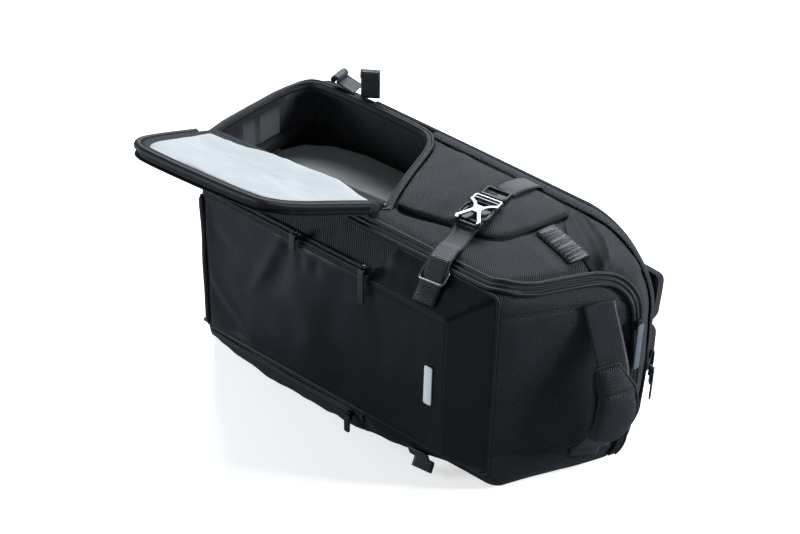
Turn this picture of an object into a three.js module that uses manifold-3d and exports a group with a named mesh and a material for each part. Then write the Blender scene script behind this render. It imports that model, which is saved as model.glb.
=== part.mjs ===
// A camera backpack that lies on its side, with the side access flap folded open over the front pocket.
// X runs from the base of the pack to its top, Y from its front to its back, Z up, across its width.
import * as THREE from "three";
import { mergeVertices } from "three/addons/utils/BufferGeometryUtils.js";
import Module from "manifold-3d";

const wasm = await Module();
wasm.setup();

// Driving dimensions of the main body and the front pocket, in millimetres
const LENGTH = 502;
const WIDTH = 290;
const BODY_DEPTH = 186;
const POCKET_DEPTH = 33;
const SIDE_CROWN = 4;
const END_CROWN = 5;
const PADDED_WALL = 8;
const CLOTH = 2.5;
const GAP = 0.3;
const MID = WIDTH / 2;

// The side access opening, its flap and what shows inside
const MOUTH_LENGTH = 236;
const MOUTH_INSET = 7;
const HINGE_DEPTH = 20;
const BACK_MARGIN = 17;
const MOUTH_DEPTH = BODY_DEPTH - HINGE_DEPTH - BACK_MARGIN;
const MOUTH_TAPE = 7;
const TAPE_THICKNESS = 2.2;
const FLAP_TILT = 22;
const FLAP_SKEW = 4;
const FLAP_THICKNESS = 14;
const FLAP_RIM = 9;
const FLAP_LIP = 5;
const COMPARTMENT_DEPTH = 78;
const PAD_THICKNESS = 9;

// Panels, bands and straps on the outside
const PANEL_THICKNESS = 4;
const BAND_WIDTH = 14;
const BAND_THICKNESS = 3;
const ELASTIC_WIDTH = 24;
const ELASTIC_THICKNESS = 3.2;
const ELASTIC_RIBS = 9;
const WEBBING = 1.8;
const SIDE_WEBBING_WIDTH = 25;
const BUCKLE_LENGTH = 48;
const BUCKLE_WIDTH = 34;
const BUCKLE_THICKNESS = 9;
const RING_WIRE = 2.2;
const LABEL_LENGTH = 50;
const LABEL_WIDTH = 10;
const LABEL_THICKNESS = 1.6;

// The grab handle on the top end, and the harness on the back
const HANDLE_WEBBING_WIDTH = 34;
const GRIP_WIDTH = 46;
const GRIP_LENGTH = 92;
const GRIP_THICKNESS = 13;
const HANDLE_RISE = 24;
const BACK_PAD_THICKNESS = 11;
const STRAP_WIDTH = 64;
const STRAP_THICKNESS = 12;
const STRAP_WEBBING_WIDTH = 22;
const TAIL_HEIGHT = 40;
const TAIL_LOOP = 9;

// Zip sliders and their tabs
const SLIDER_LENGTH = 13;
const SLIDER_WIDTH = 8;
const SLIDER_THICKNESS = 4;
const TAB_WIDTH = 7.5;
const TAB_THICKNESS = 2.2;

// Cross sections of the body from front to back. depth is a share of BODY_DEPTH, base and end are shares
// of LENGTH, and half widths and corner radii are shares of half of WIDTH.
const BODY_SECTIONS = [
  { depth: 0, base: 0.006, end: 0.825, upBase: 0.869, upEnd: 0.835, low: 0.9, rUp: 0.1, rEnd: 0.15, rLow: 0.1 },
  { depth: 0.065, base: 0, end: 0.845, upBase: 0.945, upEnd: 0.875, low: 1, rUp: 0.11, rEnd: 0.18, rLow: 0.12 },
  { depth: 0.215, base: 0, end: 0.887, upBase: 0.966, upEnd: 0.89, low: 1, rUp: 0.11, rEnd: 0.24, rLow: 0.2 },
  { depth: 0.43, base: 0, end: 0.942, upBase: 0.972, upEnd: 0.91, low: 1, rUp: 0.12, rEnd: 0.32, rLow: 0.26 },
  { depth: 0.645, base: 0, end: 0.993, upBase: 0.972, upEnd: 0.917, low: 1, rUp: 0.13, rEnd: 0.42, rLow: 0.32 },
  { depth: 0.74, base: 0.002, end: 0.996, upBase: 0.968, upEnd: 0.915, low: 1, rUp: 0.14, rEnd: 0.48, rLow: 0.36 },
  { depth: 0.887, base: 0.006, end: 0.978, upBase: 0.955, upEnd: 0.9, low: 1, rUp: 0.16, rEnd: 0.6, rLow: 0.44 },
  { depth: 1, base: 0.018, end: 0.944, upBase: 0.925, upEnd: 0.865, low: 0.96, rUp: 0.18, rEnd: 0.66, rLow: 0.52 },
];

// The front pocket's outline where it is sewn on and at its face: base and end are shares of LENGTH,
// half widths are shares of half of WIDTH.
const POCKET_BACK = { base: 0.01, end: 0.823, halfBase: 0.862, halfEnd: 0.825, radius: 0.06 };
const POCKET_FACE = { base: 0.072, end: 0.747, halfBase: 0.628, halfEnd: 0.628, radius: 0.03 };
const POCKET_ZIP_END = 0.534;
const POCKET_ZIPS = [
  { name: "pocket_zip_upper", side: 1, share: 0.84 },
  { name: "pocket_zip_lower", side: -1, share: 0.955 },
];

// The pocket's lower side sags towards the floor. share is the way out from the seam to the face, along is a
// share of the pocket's length, and the product of drop and part is a share of POCKET_DEPTH.
const POCKET_SAG = [
  { share: 0, drop: 0.33 },
  { share: 0.3, drop: 0.7 },
  { share: 0.5, drop: 0.84 },
  { share: 0.7, drop: 0.9 },
  { share: 0.85, drop: 0.72 },
  { share: 0.93, drop: 0.41 },
  { share: 1, drop: 0 },
];
const SAG_ALONG = [
  { along: 0, part: 0.3 },
  { along: 0.1, part: 0.7 },
  { along: 0.25, part: 1 },
  { along: 0.6, part: 1 },
  { along: 0.8, part: 0.65 },
  { along: 0.92, part: 0.3 },
  { along: 1, part: 0 },
];

// Soft folds pressed into the pocket's face: a line from one point to another, as shares of the face's
// length and height, with its width and depth in millimetres.
const POCKET_FOLDS = [
  { fromX: 0.05, fromZ: 0.9, toX: 0.14, toZ: 0.45, width: 16, depth: 2.2 },
  { fromX: 0.3, fromZ: 0.98, toX: 0.42, toZ: 0.6, width: 22, depth: 2 },
  { fromX: 0.2, fromZ: 0.1, toX: 0.62, toZ: 0.2, width: 30, depth: 1.4 },
  { fromX: 0.62, fromZ: 0.9, toX: 0.5, toZ: 0.5, width: 24, depth: 1.4 },
];

// The opening's outline from the hinge round to the hinge again: x is a share of MOUTH_LENGTH from its
// base end, y a share of MOUTH_DEPTH from the hinge line.
const MOUTH_OUTLINE = [
  { x: 0, y: -0.05 },
  { x: 0, y: 0.27 },
  { x: 0.002, y: 0.6 },
  { x: 0.021, y: 0.82 },
  { x: 0.085, y: 0.946 },
  { x: 0.195, y: 0.987 },
  { x: 0.45, y: 1 },
  { x: 0.712, y: 0.985 },
  { x: 0.805, y: 0.906 },
  { x: 0.869, y: 0.738 },
  { x: 0.932, y: 0.403 },
  { x: 0.966, y: 0.22 },
  { x: 1, y: 0.06 },
];

// The padded panel beside the opening: x is a share of LENGTH, y a share of BODY_DEPTH.
const SIDE_PANEL_OUTLINE = [
  { x: 0.42, y: 0.82 },
  { x: 0.49, y: 0.2 },
  { x: 0.52, y: 0.178 },
  { x: 0.627, y: 0.253 },
  { x: 0.695, y: 0.27 },
  { x: 0.733, y: 0.344 },
  { x: 0.763, y: 0.505 },
  { x: 0.777, y: 0.645 },
  { x: 0.787, y: 0.82 },
];

// The stretch panel between the gathered elastic and the back gusset, in the same shares
const STRETCH_PANEL_OUTLINE = [
  { x: 0.793, y: 0.8 },
  { x: 0.783, y: 0.72 },
  { x: 0.91, y: 0.555 },
  { x: 0.945, y: 0.58 },
  { x: 0.9, y: 0.7 },
  { x: 0.85, y: 0.775 },
];
const ELASTIC_FROM = { x: 0.763, y: 0.64 };
const ELASTIC_TO = { x: 0.898, y: 0.473 };

// The double piped zip band. place is the position round the section, where 0 to 1 is the upper side from
// base to end, 1 to 2 its corner, 2 to 3 the end from top to bottom, 3 to 4 the lower corner and 4 to 5 the
// lower side back to the base. depth is a share of BODY_DEPTH.
const MAIN_BAND = [
  { place: 0.4, depth: 0.025 },
  { place: 0.6, depth: 0.025 },
  { place: 0.8, depth: 0.028 },
  { place: 1, depth: 0.03 },
  { place: 1.3, depth: 0.05 },
  { place: 1.5, depth: 0.12 },
  { place: 1.5, depth: 0.3 },
  { place: 1.5, depth: 0.45 },
  { place: 1.52, depth: 0.56 },
  { place: 1.65, depth: 0.63 },
  { place: 2, depth: 0.66 },
  { place: 2.5, depth: 0.66 },
  { place: 3, depth: 0.66 },
  { place: 3.3, depth: 0.63 },
];
const BACK_BAND = [
  { place: 1.1, depth: 0.9 },
  { place: 1.4, depth: 0.9 },
  { place: 1.7, depth: 0.9 },
  { place: 2, depth: 0.9 },
  { place: 2.5, depth: 0.9 },
  { place: 3, depth: 0.9 },
  { place: 3.5, depth: 0.9 },
];

// The side strap, where it crosses the plan as shares of LENGTH and BODY_DEPTH, and its turn in degrees
const STRAP_AT = { x: 0.657, y: 0.382 };
const STRAP_TURN = 6.8;
const ANCHOR_AT = { x: 0.66, y: 0.77 };
const ANCHOR_TURN = -4;
const ANCHOR_LENGTH = 50;

// How high the strap's middle runs over the skin, in millimetres. y is a share of BODY_DEPTH behind the
// front edge, and out is a share of the pocket's slope in front of it.
const STRAP_RUN = [
  { y: 0.29, lift: 7.4 },
  { y: 0.25, lift: 7.2 },
  { y: 0.19, lift: 4.2 },
  { y: 0.13, lift: 4 },
  { y: 0.08, lift: 6.4 },
  { y: 0.03, lift: 8 },
  { y: 0, lift: 9.6 },
  { out: 0.12, lift: 10 },
  { out: 0.35, lift: 7 },
  { out: 0.6, lift: 4.4 },
  { out: 0.95, lift: 2.8 },
];
const LOWER_STRAP_RUN = [
  { out: 0.93, lift: 3 },
  { out: 0.8, lift: 3.2 },
  { out: 0.62, lift: 3.2 },
  { out: 0.5, lift: 4.4 },
  { out: 0.52, lift: 9 },
  { out: 0.6, lift: 15 },
  { out: 0.66, lift: 19.5 },
];

// The grab handle's middle line seen from the side: out from the end face as a share of HANDLE_RISE, and
// z as a share of WIDTH above the floor.
const HANDLE_RUN = [
  { out: 0.05, z: 0.83 },
  { out: 0.05, z: 0.795 },
  { out: 0.27, z: 0.74 },
  { out: 0.52, z: 0.68 },
  { out: 0.76, z: 0.61 },
  { out: 0.88, z: 0.55 },
  { out: 1, z: 0.48 },
  { out: 1.04, z: 0.41 },
  { out: 0.96, z: 0.33 },
  { out: 0.72, z: 0.26 },
  { out: 0.42, z: 0.205 },
  { out: 0.05, z: 0.165 },
  { out: 0.05, z: 0.13 },
];
const HANDLE_DEPTH = 0.475;
const HANDLE_LEAN = 4;
const GRIP_TOP = 0.555;

// A shoulder strap's middle line on the back: x is a share of LENGTH, z a share of WIDTH from the middle,
// and width a share of STRAP_WIDTH.
const SHOULDER_STRAP = [
  { x: 0.952, z: 0.12, width: 0.95 },
  { x: 0.93, z: 0.122, width: 1 },
  { x: 0.84, z: 0.135, width: 1 },
  { x: 0.72, z: 0.175, width: 0.98 },
  { x: 0.6, z: 0.215, width: 0.95 },
  { x: 0.5, z: 0.228, width: 0.85 },
  { x: 0.43, z: 0.224, width: 0.62 },
  { x: 0.42, z: 0.223, width: 0.5 },
];
const BACK_PADS = [
  { name: "lumbar_pad", from: 0.068, to: 0.482 },
  { name: "shoulder_pad", from: 0.57, to: 0.893 },
];

// The folded webbing tail over the back edge. turn is about the upright in degrees, shift and run are in
// millimetres, rise is a share of TAIL_HEIGHT, and roll is the side to which the loop curls over.
const TAIL_AT = { x: 0.183, y: 0.985 };
const TAIL_LOOPS = [
  { name: "tail_loop_upper", turn: 35, shift: 0, roll: -1, path: [{ run: 2, rise: 0 }, { run: 0, rise: 0.8 }] },
  { name: "tail_loop_lower", turn: 98, shift: -14, roll: 1, path: [{ run: 4, rise: 0.13 }, { run: 24, rise: 0.3 }] },
];

// The strip of cloth at the hinge, seen edge on in the flap's own frame: across the hinge, and up from it
const HINGE_STRIP = [
  { across: 0.5, up: 1.5 },
  { across: -1.5, up: 3.5 },
  { across: -3.4, up: 5 },
  { across: -5, up: 6.2 },
];
const HINGE_STRIP_LENGTH = 224;

// Zip sliders with their tabs, hanging straight down: on the pocket's slope, or on the body's skin. tab is
// its length, and off or lift the slider's height over the slope or the band, in millimetres.
const POCKET_SLIDERS = [
  { name: "pocket_slider_upper", x: 0.532, side: 1, tab: 44, off: 8.3 },
  { name: "pocket_slider_middle", x: 0.345, side: 1, tab: 22, off: 8.3 },
  { name: "pocket_slider_lower", x: 0.5, side: -1, tab: 24, off: 3.8 },
];
const BODY_SLIDERS = [
  { name: "main_slider", place: 2.06, depth: 0.645, tab: 58, lift: 0.7 },
  { name: "back_slider_upper", place: 2.5, depth: 0.93, tab: 46, lift: 1.5 },
  { name: "back_slider_lower", place: 2.58, depth: 0.87, tab: 42, lift: 1.5 },
];

// Colours and surfaces, as seen on the pack
const finish = (color, roughness, metalness = 0) => new THREE.MeshStandardMaterial({ color, roughness, metalness });
const TWILL = finish(0x23262b, 0.85);
const COATED = finish(0x1b1f25, 0.5);
const LINING_LIGHT = finish(0xd9dcdf, 0.95);
const LINING_DARK = finish(0x3a3d41, 0.95);
const WEB = finish(0x33383e, 0.7);
const MESH_FABRIC = finish(0x1a1b1d, 0.95);
const SILVER = finish(0xb9bdc2, 0.35, 0.9);
const BLACK_PLASTIC = finish(0x121315, 0.45);
const TAPE = finish(0x15171a, 0.7);
const SLIDER_METAL = finish(0x1b1c1f, 0.4, 0.8);
const LABEL = finish(0xd5d8da, 0.4, 0.3);

const pack = new THREE.Group();

// Plain number helpers
const lerp = (a, b, t) => a + (b - a) * t;
const radians = (degrees) => (degrees * Math.PI) / 180;
const point = (x, y, z) => new THREE.Vector3(x, y, z);

// The signed volume of an indexed geometry, negative when its faces point inwards
function signedVolume(positions, index) {
  let six = 0;
  const at = (i) => point(positions[3 * i], positions[3 * i + 1], positions[3 * i + 2]);
  for (let i = 0; i < index.length; i += 3) {
    six += at(index[i]).dot(at(index[i + 1]).cross(at(index[i + 2])));
  }
  return six / 6;
}

// A closed geometry as a solid that can be joined and cut
function solidOf(geometry) {
  const bare = geometry.clone();
  bare.deleteAttribute("normal");
  bare.deleteAttribute("uv");
  const merged = mergeVertices(bare, 1e-3);
  const vertProperties = merged.attributes.position.array;
  const triVerts = new Uint32Array(merged.index.array);
  if (signedVolume(vertProperties, triVerts) < 0) {
    triVerts.reverse();
  }
  return new wasm.Manifold(new wasm.Mesh({ numProp: 3, vertProperties, triVerts }));
}

// Adds a named piece to a group
function piece(name, solid, material, parent = pack) {
  const made = solid.getMesh();
  const geometry = new THREE.BufferGeometry();
  geometry.setAttribute("position", new THREE.BufferAttribute(Float32Array.from(made.vertProperties), 3));
  geometry.setIndex(new THREE.BufferAttribute(made.triVerts, 1));
  geometry.computeVertexNormals();
  const mesh = new THREE.Mesh(geometry, material);
  mesh.name = name;
  parent.add(mesh);
  return mesh;
}

// A closed skin through rings of points, capped at both ends or joined round into a loop
function loft(rings, loop = false) {
  const count = rings[0].length;
  const points = rings.flat();
  const index = [];
  const stretches = loop ? rings.length : rings.length - 1;
  for (let r = 0; r < stretches; r += 1) {
    const next = (r + 1) % rings.length;
    for (let i = 0; i < count; i += 1) {
      const j = (i + 1) % count;
      index.push(r * count + i, next * count + i, next * count + j);
      index.push(r * count + i, next * count + j, r * count + j);
    }
  }
  if (!loop) {
    const centreOf = (ring) => ring.reduce((sum, p) => sum.add(p), point(0, 0, 0)).divideScalar(count);
    const first = points.push(centreOf(rings[0])) - 1;
    const last = points.push(centreOf(rings[rings.length - 1])) - 1;
    const start = (rings.length - 1) * count;
    for (let i = 0; i < count; i += 1) {
      const j = (i + 1) % count;
      index.push(first, i, j);
      index.push(last, start + j, start + i);
    }
  }
  const geometry = new THREE.BufferGeometry().setFromPoints(points);
  geometry.setIndex(index);
  return geometry;
}

// An outline in the plane of two axes, pushed along the third from one level to another
function prismGeometry(outline, along, from, to) {
  const shape = new THREE.Shape(outline.map(([a, b]) => new THREE.Vector2(a, b)));
  const geometry = new THREE.ExtrudeGeometry(shape, { depth: to - from, bevelEnabled: false });
  geometry.translate(0, 0, from);
  if (along === "y") {
    geometry.rotateX(Math.PI / 2);
    geometry.scale(1, -1, 1);
  }
  if (along === "x") {
    geometry.applyMatrix4(new THREE.Matrix4().set(0, 0, 1, 0, 1, 0, 0, 0, 0, 1, 0, 0, 0, 0, 0, 1));
  }
  return geometry;
}
const prism = (outline, along, from, to) => solidOf(prismGeometry(outline, along, from, to));

// A rectangle with round corners, as an outline about a centre
function roundedRectangle(width, height, radius, steps = 3) {
  const outline = [];
  const corners = [[1, 1, 0], [-1, 1, 90], [-1, -1, 180], [1, -1, 270]];
  for (const [sx, sy, start] of corners) {
    for (let i = 0; i <= steps; i += 1) {
      const a = radians(start + (90 * i) / steps);
      outline.push([
        sx * (width / 2 - radius) + radius * Math.cos(a),
        sy * (height / 2 - radius) + radius * Math.sin(a),
      ]);
    }
  }
  return outline;
}

// An open outline made thick to both sides, for webbing seen edge on
function thickened(path, thickness) {
  const sides = [[], []];
  path.forEach(([a, b], i) => {
    const [pa, pb] = path[Math.max(i - 1, 0)];
    const [na, nb] = path[Math.min(i + 1, path.length - 1)];
    const long = Math.hypot(na - pa, nb - pb);
    const step = thickness / 2 / long;
    sides[0].push([a - (nb - pb) * step, b + (na - pa) * step]);
    sides[1].push([a + (nb - pb) * step, b - (na - pa) * step]);
  });
  return [...sides[0], ...sides[1].reverse()];
}

// A closed outline moved outwards by a distance, or inwards by a negative one
function grown(outline, distance) {
  const area = outline.reduce((sum, [a, b], i) => {
    const [c, d] = outline[(i + 1) % outline.length];
    return sum + a * d - b * c;
  }, 0);
  const turn = Math.sign(area) * distance;
  return outline.map(([a, b], i) => {
    const [pa, pb] = outline[(i + outline.length - 1) % outline.length];
    const [na, nb] = outline[(i + 1) % outline.length];
    const before = new THREE.Vector2(b - pb, pa - a).normalize();
    const after = new THREE.Vector2(nb - b, a - na).normalize();
    const out = before.add(after);
    const reach = (2 * turn) / Math.max(out.lengthSq(), 1);
    return [a + out.x * reach, b + out.y * reach];
  });
}

// A smooth outline through a few points, closed by a straight line
function smooth(points, steps) {
  const curve = new THREE.SplineCurve(points.map(([a, b]) => new THREE.Vector2(a, b)));
  return curve.getPoints(steps).map((p) => [p.x, p.y]);
}

// One section of the body, read from the table at any depth
function sectionAt(depth) {
  const rows = BODY_SECTIONS;
  let i = 0;
  while (i < rows.length - 2 && depth > rows[i + 1].depth) {
    i += 1;
  }
  const t = (depth - rows[i].depth) / (rows[i + 1].depth - rows[i].depth);
  return Object.fromEntries(Object.keys(rows[0]).map((key) => [key, lerp(rows[i][key], rows[i + 1][key], t)]));
}

// The outline round the body at one depth: four round corners, with the sides between them slightly crowned
const CORNER_STEPS = 5;
const SIDE_STEPS = 6;
const BULGE = [
  (u, d) => [0, SIDE_CROWN * Math.sin(Math.PI * u) * Math.sin(Math.PI * d)],
  (u, d) => [END_CROWN * Math.sin(Math.PI * u) * Math.sin(Math.PI * d), 0],
  () => [0, 0],
  () => [0, 0],
];
function bodyRing(depth, grow = 0) {
  const s = sectionAt(THREE.MathUtils.clamp(depth, 0, 1));
  const left = s.base * LENGTH - grow;
  const right = s.end * LENGTH + grow;
  const corners = [
    { x: left, z: MID + MID * s.upBase + grow, r: MID * s.rUp + grow, sx: 1, sz: -1, start: 180 },
    { x: right, z: MID + MID * s.upEnd + grow, r: MID * s.rEnd + grow, sx: -1, sz: -1, start: 90 },
    { x: right, z: MID - MID * s.low - grow, r: MID * s.rLow + grow, sx: -1, sz: 1, start: 0 },
    { x: left, z: MID - MID * s.low - grow, r: MID * s.rUp + grow, sx: 1, sz: 1, start: -90 },
  ];
  const y = depth * BODY_DEPTH + (2 * depth - 1) * grow;
  const arcs = corners.map((c) => {
    const arc = [];
    for (let i = 0; i <= CORNER_STEPS; i += 1) {
      const a = radians(c.start - (90 * i) / CORNER_STEPS);
      arc.push([c.x + c.sx * c.r + c.r * Math.cos(a), c.z + c.sz * c.r + c.r * Math.sin(a)]);
    }
    return arc;
  });
  const ring = [];
  arcs.forEach((arc, side) => {
    const from = arc[CORNER_STEPS];
    const to = arcs[(side + 1) % 4][0];
    ring.push(...arc);
    for (let i = 1; i < SIDE_STEPS; i += 1) {
      const u = i / SIDE_STEPS;
      const [bx, bz] = BULGE[side](u, depth);
      ring.push([lerp(from[0], to[0], u) + bx, lerp(from[1], to[1], u) + bz]);
    }
  });
  return ring.map(([x, z]) => point(x, y, z));
}

// A place on the body: 0 to 1 along the upper side, 1 to 2 round its end corner, and so on round the ring
function onBody(place, depth, grow = 0) {
  const ring = bodyRing(depth, grow);
  const turn = CORNER_STEPS + SIDE_STEPS;
  const pair = Math.floor(place / 2);
  const rest = place - 2 * pair;
  const along = rest < 1 ? CORNER_STEPS + rest * SIDE_STEPS : turn + (rest - 1) * CORNER_STEPS;
  const at = (pair * turn + along) % ring.length;
  const i = Math.floor(at);
  return ring[i].clone().lerp(ring[(i + 1) % ring.length], at - i);
}

// The outward direction of the body's skin at a place
function bodyNormal(place, depth) {
  const step = 0.02;
  const round = onBody(place + step, depth).sub(onBody(place - step, depth));
  const back = onBody(place, Math.min(depth + step, 1)).sub(onBody(place, Math.max(depth - step, 0)));
  return round.cross(back).normalize();
}

// How high the upper side is over a point of the plan
function upperHeight(x, y) {
  const ring = bodyRing(THREE.MathUtils.clamp(y / BODY_DEPTH, 0, 1));
  const upper = ring.slice(0, 2 * CORNER_STEPS + SIDE_STEPS + 1);
  for (let i = 0; i + 1 < upper.length; i += 1) {
    const a = upper[i];
    const b = upper[i + 1];
    if (x >= a.x && x <= b.x) {
      return lerp(a.z, b.z, (x - a.x) / (b.x - a.x));
    }
  }
  return MID;
}

// The body as a solid, grown or shrunk on all its faces, and a thin layer of it between two such skins
function bodySolid(grow, frame = pack) {
  const geometry = loft(BODY_SECTIONS.map((row) => bodyRing(row.depth, grow)));
  frame.updateWorldMatrix(true, false);
  return solidOf(geometry.applyMatrix4(frame.matrixWorld.clone().invert()));
}
const REACH = 2 * LENGTH;
const aboveFloor = prism([[-REACH, -REACH], [REACH, -REACH], [REACH, REACH], [-REACH, REACH]], "z", 0, REACH);
const bodyLayer = (from, to) => bodySolid(to).subtract(bodySolid(from)).intersect(aboveFloor);

// A straight or bent strip that stands through the skin along a path, used to cut bands out of a layer
function cutter(path, width, reach) {
  const rings = path.map(({ at, out }, i) => {
    const before = path[Math.max(i - 1, 0)].at;
    const after = path[Math.min(i + 1, path.length - 1)].at;
    const side = after.clone().sub(before).cross(out).normalize();
    const corner = (s, h) => at.clone().addScaledVector(side, (s * width) / 2).addScaledVector(out, h * reach);
    return [corner(-1, -1), corner(1, -1), corner(1, 1), corner(-1, 1)];
  });
  return solidOf(loft(rings));
}

// A path over the skin from a table of places
const skinPath = (table) => table.map(({ place, depth }) => ({ at: onBody(place, depth), out: bodyNormal(place, depth) }));

// The opening's outline on the plan, from its table
const mouthPoints = MOUTH_OUTLINE.map((row) => [
  MOUTH_INSET + row.x * MOUTH_LENGTH,
  HINGE_DEPTH + row.y * MOUTH_DEPTH,
]);
const mouthOutline = smooth(mouthPoints, 36);
const onPlan = (rows) => rows.map((row) => [row.x * LENGTH, row.y * BODY_DEPTH]);

// The hollow body with its opening
function makeBody() {
  const inside = bodySolid(-PADDED_WALL);
  const opening = prism(mouthOutline, "z", MID, REACH);
  piece("body_shell", bodySolid(0).subtract(inside).subtract(opening), TWILL);
}

// The padded shelf, the ledge against the base and the wall between the two compartments
function makeInsert() {
  const room = bodySolid(-PADDED_WALL - GAP);
  const shelfTop = 2 * MID - COMPARTMENT_DEPTH;
  const wallAt = MOUTH_INSET + MOUTH_LENGTH + PAD_THICKNESS;
  const ledgeTop = shelfTop + 2 * PAD_THICKNESS;
  const ledgeEnd = PADDED_WALL + PAD_THICKNESS;
  const slab = (x0, x1, z0, z1) => prism([[x0, z0], [x1, z0], [x1, z1], [x0, z1]], "y", -REACH, REACH);
  piece("compartment_wall", slab(wallAt, wallAt + PAD_THICKNESS, -REACH, REACH).intersect(room), LINING_DARK);
  const shelf = slab(0, wallAt - GAP, shelfTop - PAD_THICKNESS, shelfTop).intersect(room);
  piece("padded_shelf", shelf, LINING_LIGHT);
  const ledge = slab(0, ledgeEnd, shelfTop + GAP, ledgeTop).intersect(room);
  piece("base_ledge", ledge, LINING_DARK);
}

// The zip tape round the opening, left out along the hinge
function makeMouthTape() {
  const ring = prism(grown(mouthOutline, MOUTH_TAPE), "z", MID, REACH);
  const hole = prism(grown(mouthOutline, GAP), "z", MID, REACH);
  const hingeSide = HINGE_DEPTH + 0.12 * MOUTH_DEPTH;
  const keep = prism([[-REACH, hingeSide], [REACH, hingeSide], [REACH, REACH], [-REACH, REACH]], "z", MID, REACH);
  const tape = bodyLayer(GAP, GAP + TAPE_THICKNESS).intersect(ring).subtract(hole).intersect(keep);
  piece("mouth_zip_tape", tape, TAPE);
}

// The flap: a tray of outer fabric with a rolled rim, a light lining pad in it and the zip lip round it
function makeFlap() {
  const hinge = new THREE.Group();
  hinge.position.set(MOUTH_INSET + MOUTH_LENGTH / 2, HINGE_DEPTH, upperHeight(LENGTH / 4, HINGE_DEPTH));
  hinge.rotation.set(-radians(FLAP_TILT), 0, radians(FLAP_SKEW), "ZXY");
  pack.add(hinge);
  const nearEdge = -0.04 * MOUTH_DEPTH;
  const curved = mouthOutline
    .map(([x, y]) => [x - MOUTH_INSET - MOUTH_LENGTH / 2, HINGE_DEPTH - y])
    .filter(([, y]) => y < nearEdge - 1.5 * FLAP_RIM);
  const outline = [[curved[0][0], nearEdge], ...curved, [curved.at(-1)[0], nearEdge]];
  const top = FLAP_THICKNESS * 0.4;
  const bottom = top - FLAP_THICKNESS;
  const rest = bodySolid(BAND_THICKNESS + 2 * GAP, hinge);
  const well = prism(grown(outline, -FLAP_RIM), "z", bottom + CLOTH, REACH);
  const tray = prism(outline, "z", bottom, top).subtract(well).subtract(rest);
  piece("flap_shell", tray, TWILL, hinge);
  const pad = prism(grown(outline, -FLAP_RIM - GAP), "z", bottom + CLOTH + GAP, top - 1);
  piece("flap_lining", pad.subtract(bodySolid(BAND_THICKNESS + CLOTH + 3 * GAP, hinge)), LINING_LIGHT, hinge);
  const lipOuter = prism(grown(outline, FLAP_LIP), "z", bottom, bottom + TAPE_THICKNESS);
  const lipInner = prism(grown(outline, GAP), "z", bottom - 1, top);
  const lipEnd = -0.1 * MOUTH_DEPTH;
  const keep = prism([[-REACH, -REACH], [REACH, -REACH], [REACH, lipEnd], [-REACH, lipEnd]], "z", -REACH, REACH);
  piece("flap_zip_lip", lipOuter.subtract(lipInner).intersect(keep).subtract(rest), TAPE, hinge);
  const strip = flatStrap(HINGE_STRIP.map(({ across, up }) => [across, up]), WEBBING, HINGE_STRIP_LENGTH);
  piece("flap_hinge", strip.subtract(bodySolid(GAP, hinge)), TWILL, hinge);
}

// The padded panel beside the opening, the stretch panel past it and the gathered elastic between them
const elasticFrom = point(ELASTIC_FROM.x * LENGTH, ELASTIC_FROM.y * BODY_DEPTH, 0);
const elasticTo = point(ELASTIC_TO.x * LENGTH, ELASTIC_TO.y * BODY_DEPTH, 0);
function makeSidePanels() {
  const clear = prism(grown(mouthOutline, MOUTH_TAPE + GAP), "z", MID, REACH);
  const panel = prism(onPlan(SIDE_PANEL_OUTLINE), "z", MID, REACH);
  const bandRoom = cutter(skinPath(MAIN_BAND), BAND_WIDTH + 2 * GAP, 9);
  const sidePanel = bodyLayer(GAP, GAP + PANEL_THICKNESS).intersect(panel).subtract(clear).subtract(bandRoom);
  piece("side_panel", sidePanel, TWILL);
  const along = elasticTo.clone().sub(elasticFrom);
  const across = point(along.y, -along.x, 0).normalize();
  const band = [[elasticFrom, -1], [elasticTo, -1], [elasticTo, 1], [elasticFrom, 1]].map(([end, side]) => {
    const corner = end.clone().addScaledVector(across, (side * ELASTIC_WIDTH) / 2);
    return [corner.x, corner.y];
  });
  const stretch = prism(onPlan(STRETCH_PANEL_OUTLINE), "z", MID, REACH);
  const beside = bodyLayer(GAP, GAP + CLOTH).intersect(stretch).subtract(prism(grown(band, GAP), "z", MID, REACH));
  piece("stretch_panel", beside.subtract(bandRoom), MESH_FABRIC);
  const steps = ELASTIC_RIBS * 4;
  const rings = [];
  for (let i = 0; i <= steps; i += 1) {
    const centre = elasticFrom.clone().addScaledVector(along, i / steps);
    const rib = 0.5 + 0.5 * Math.cos((2 * Math.PI * i) / 4);
    const high = GAP + 0.6 + ELASTIC_THICKNESS * (0.55 + 0.45 * rib);
    const corner = (side, lift) => {
      const p = centre.clone().addScaledVector(across, (side * ELASTIC_WIDTH) / 2);
      return p.setZ(upperHeight(p.x, p.y) + lift);
    };
    rings.push([corner(-1, 0.9), corner(0, 0.9), corner(1, 0.9), corner(1, high), corner(0, high), corner(-1, high)]);
  }
  const seam = prism(grown(onPlan(SIDE_PANEL_OUTLINE), GAP), "z", MID, REACH);
  piece("side_elastic", solidOf(loft(rings)).subtract(bodySolid(GAP)).subtract(seam).subtract(bandRoom), WEB);
}

// A zip band cut out of the layer over the skin along its table
function makeBand(name, table, width) {
  const strip = cutter(skinPath(table), width, 9);
  const band = bodyLayer(GAP, GAP + BAND_THICKNESS).intersect(strip);
  piece(name, band.subtract(pocketSolid(GAP)), TAPE);
}

// A value between the rows of a table, by the rows' own key
function between(table, key, value, at) {
  const next = table.findIndex((row) => row[key] >= at);
  if (next === -1) {
    return table.at(-1)[value];
  }
  if (next === 0) {
    return table[0][value];
  }
  const [a, b] = [table[next - 1], table[next]];
  return lerp(a[value], b[value], (at - a[key]) / (b[key] - a[key]));
}
const sagAt = (share, along) => (
  POCKET_DEPTH * between(POCKET_SAG, "share", "drop", share) * between(SAG_ALONG, "along", "part", along)
);

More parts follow.
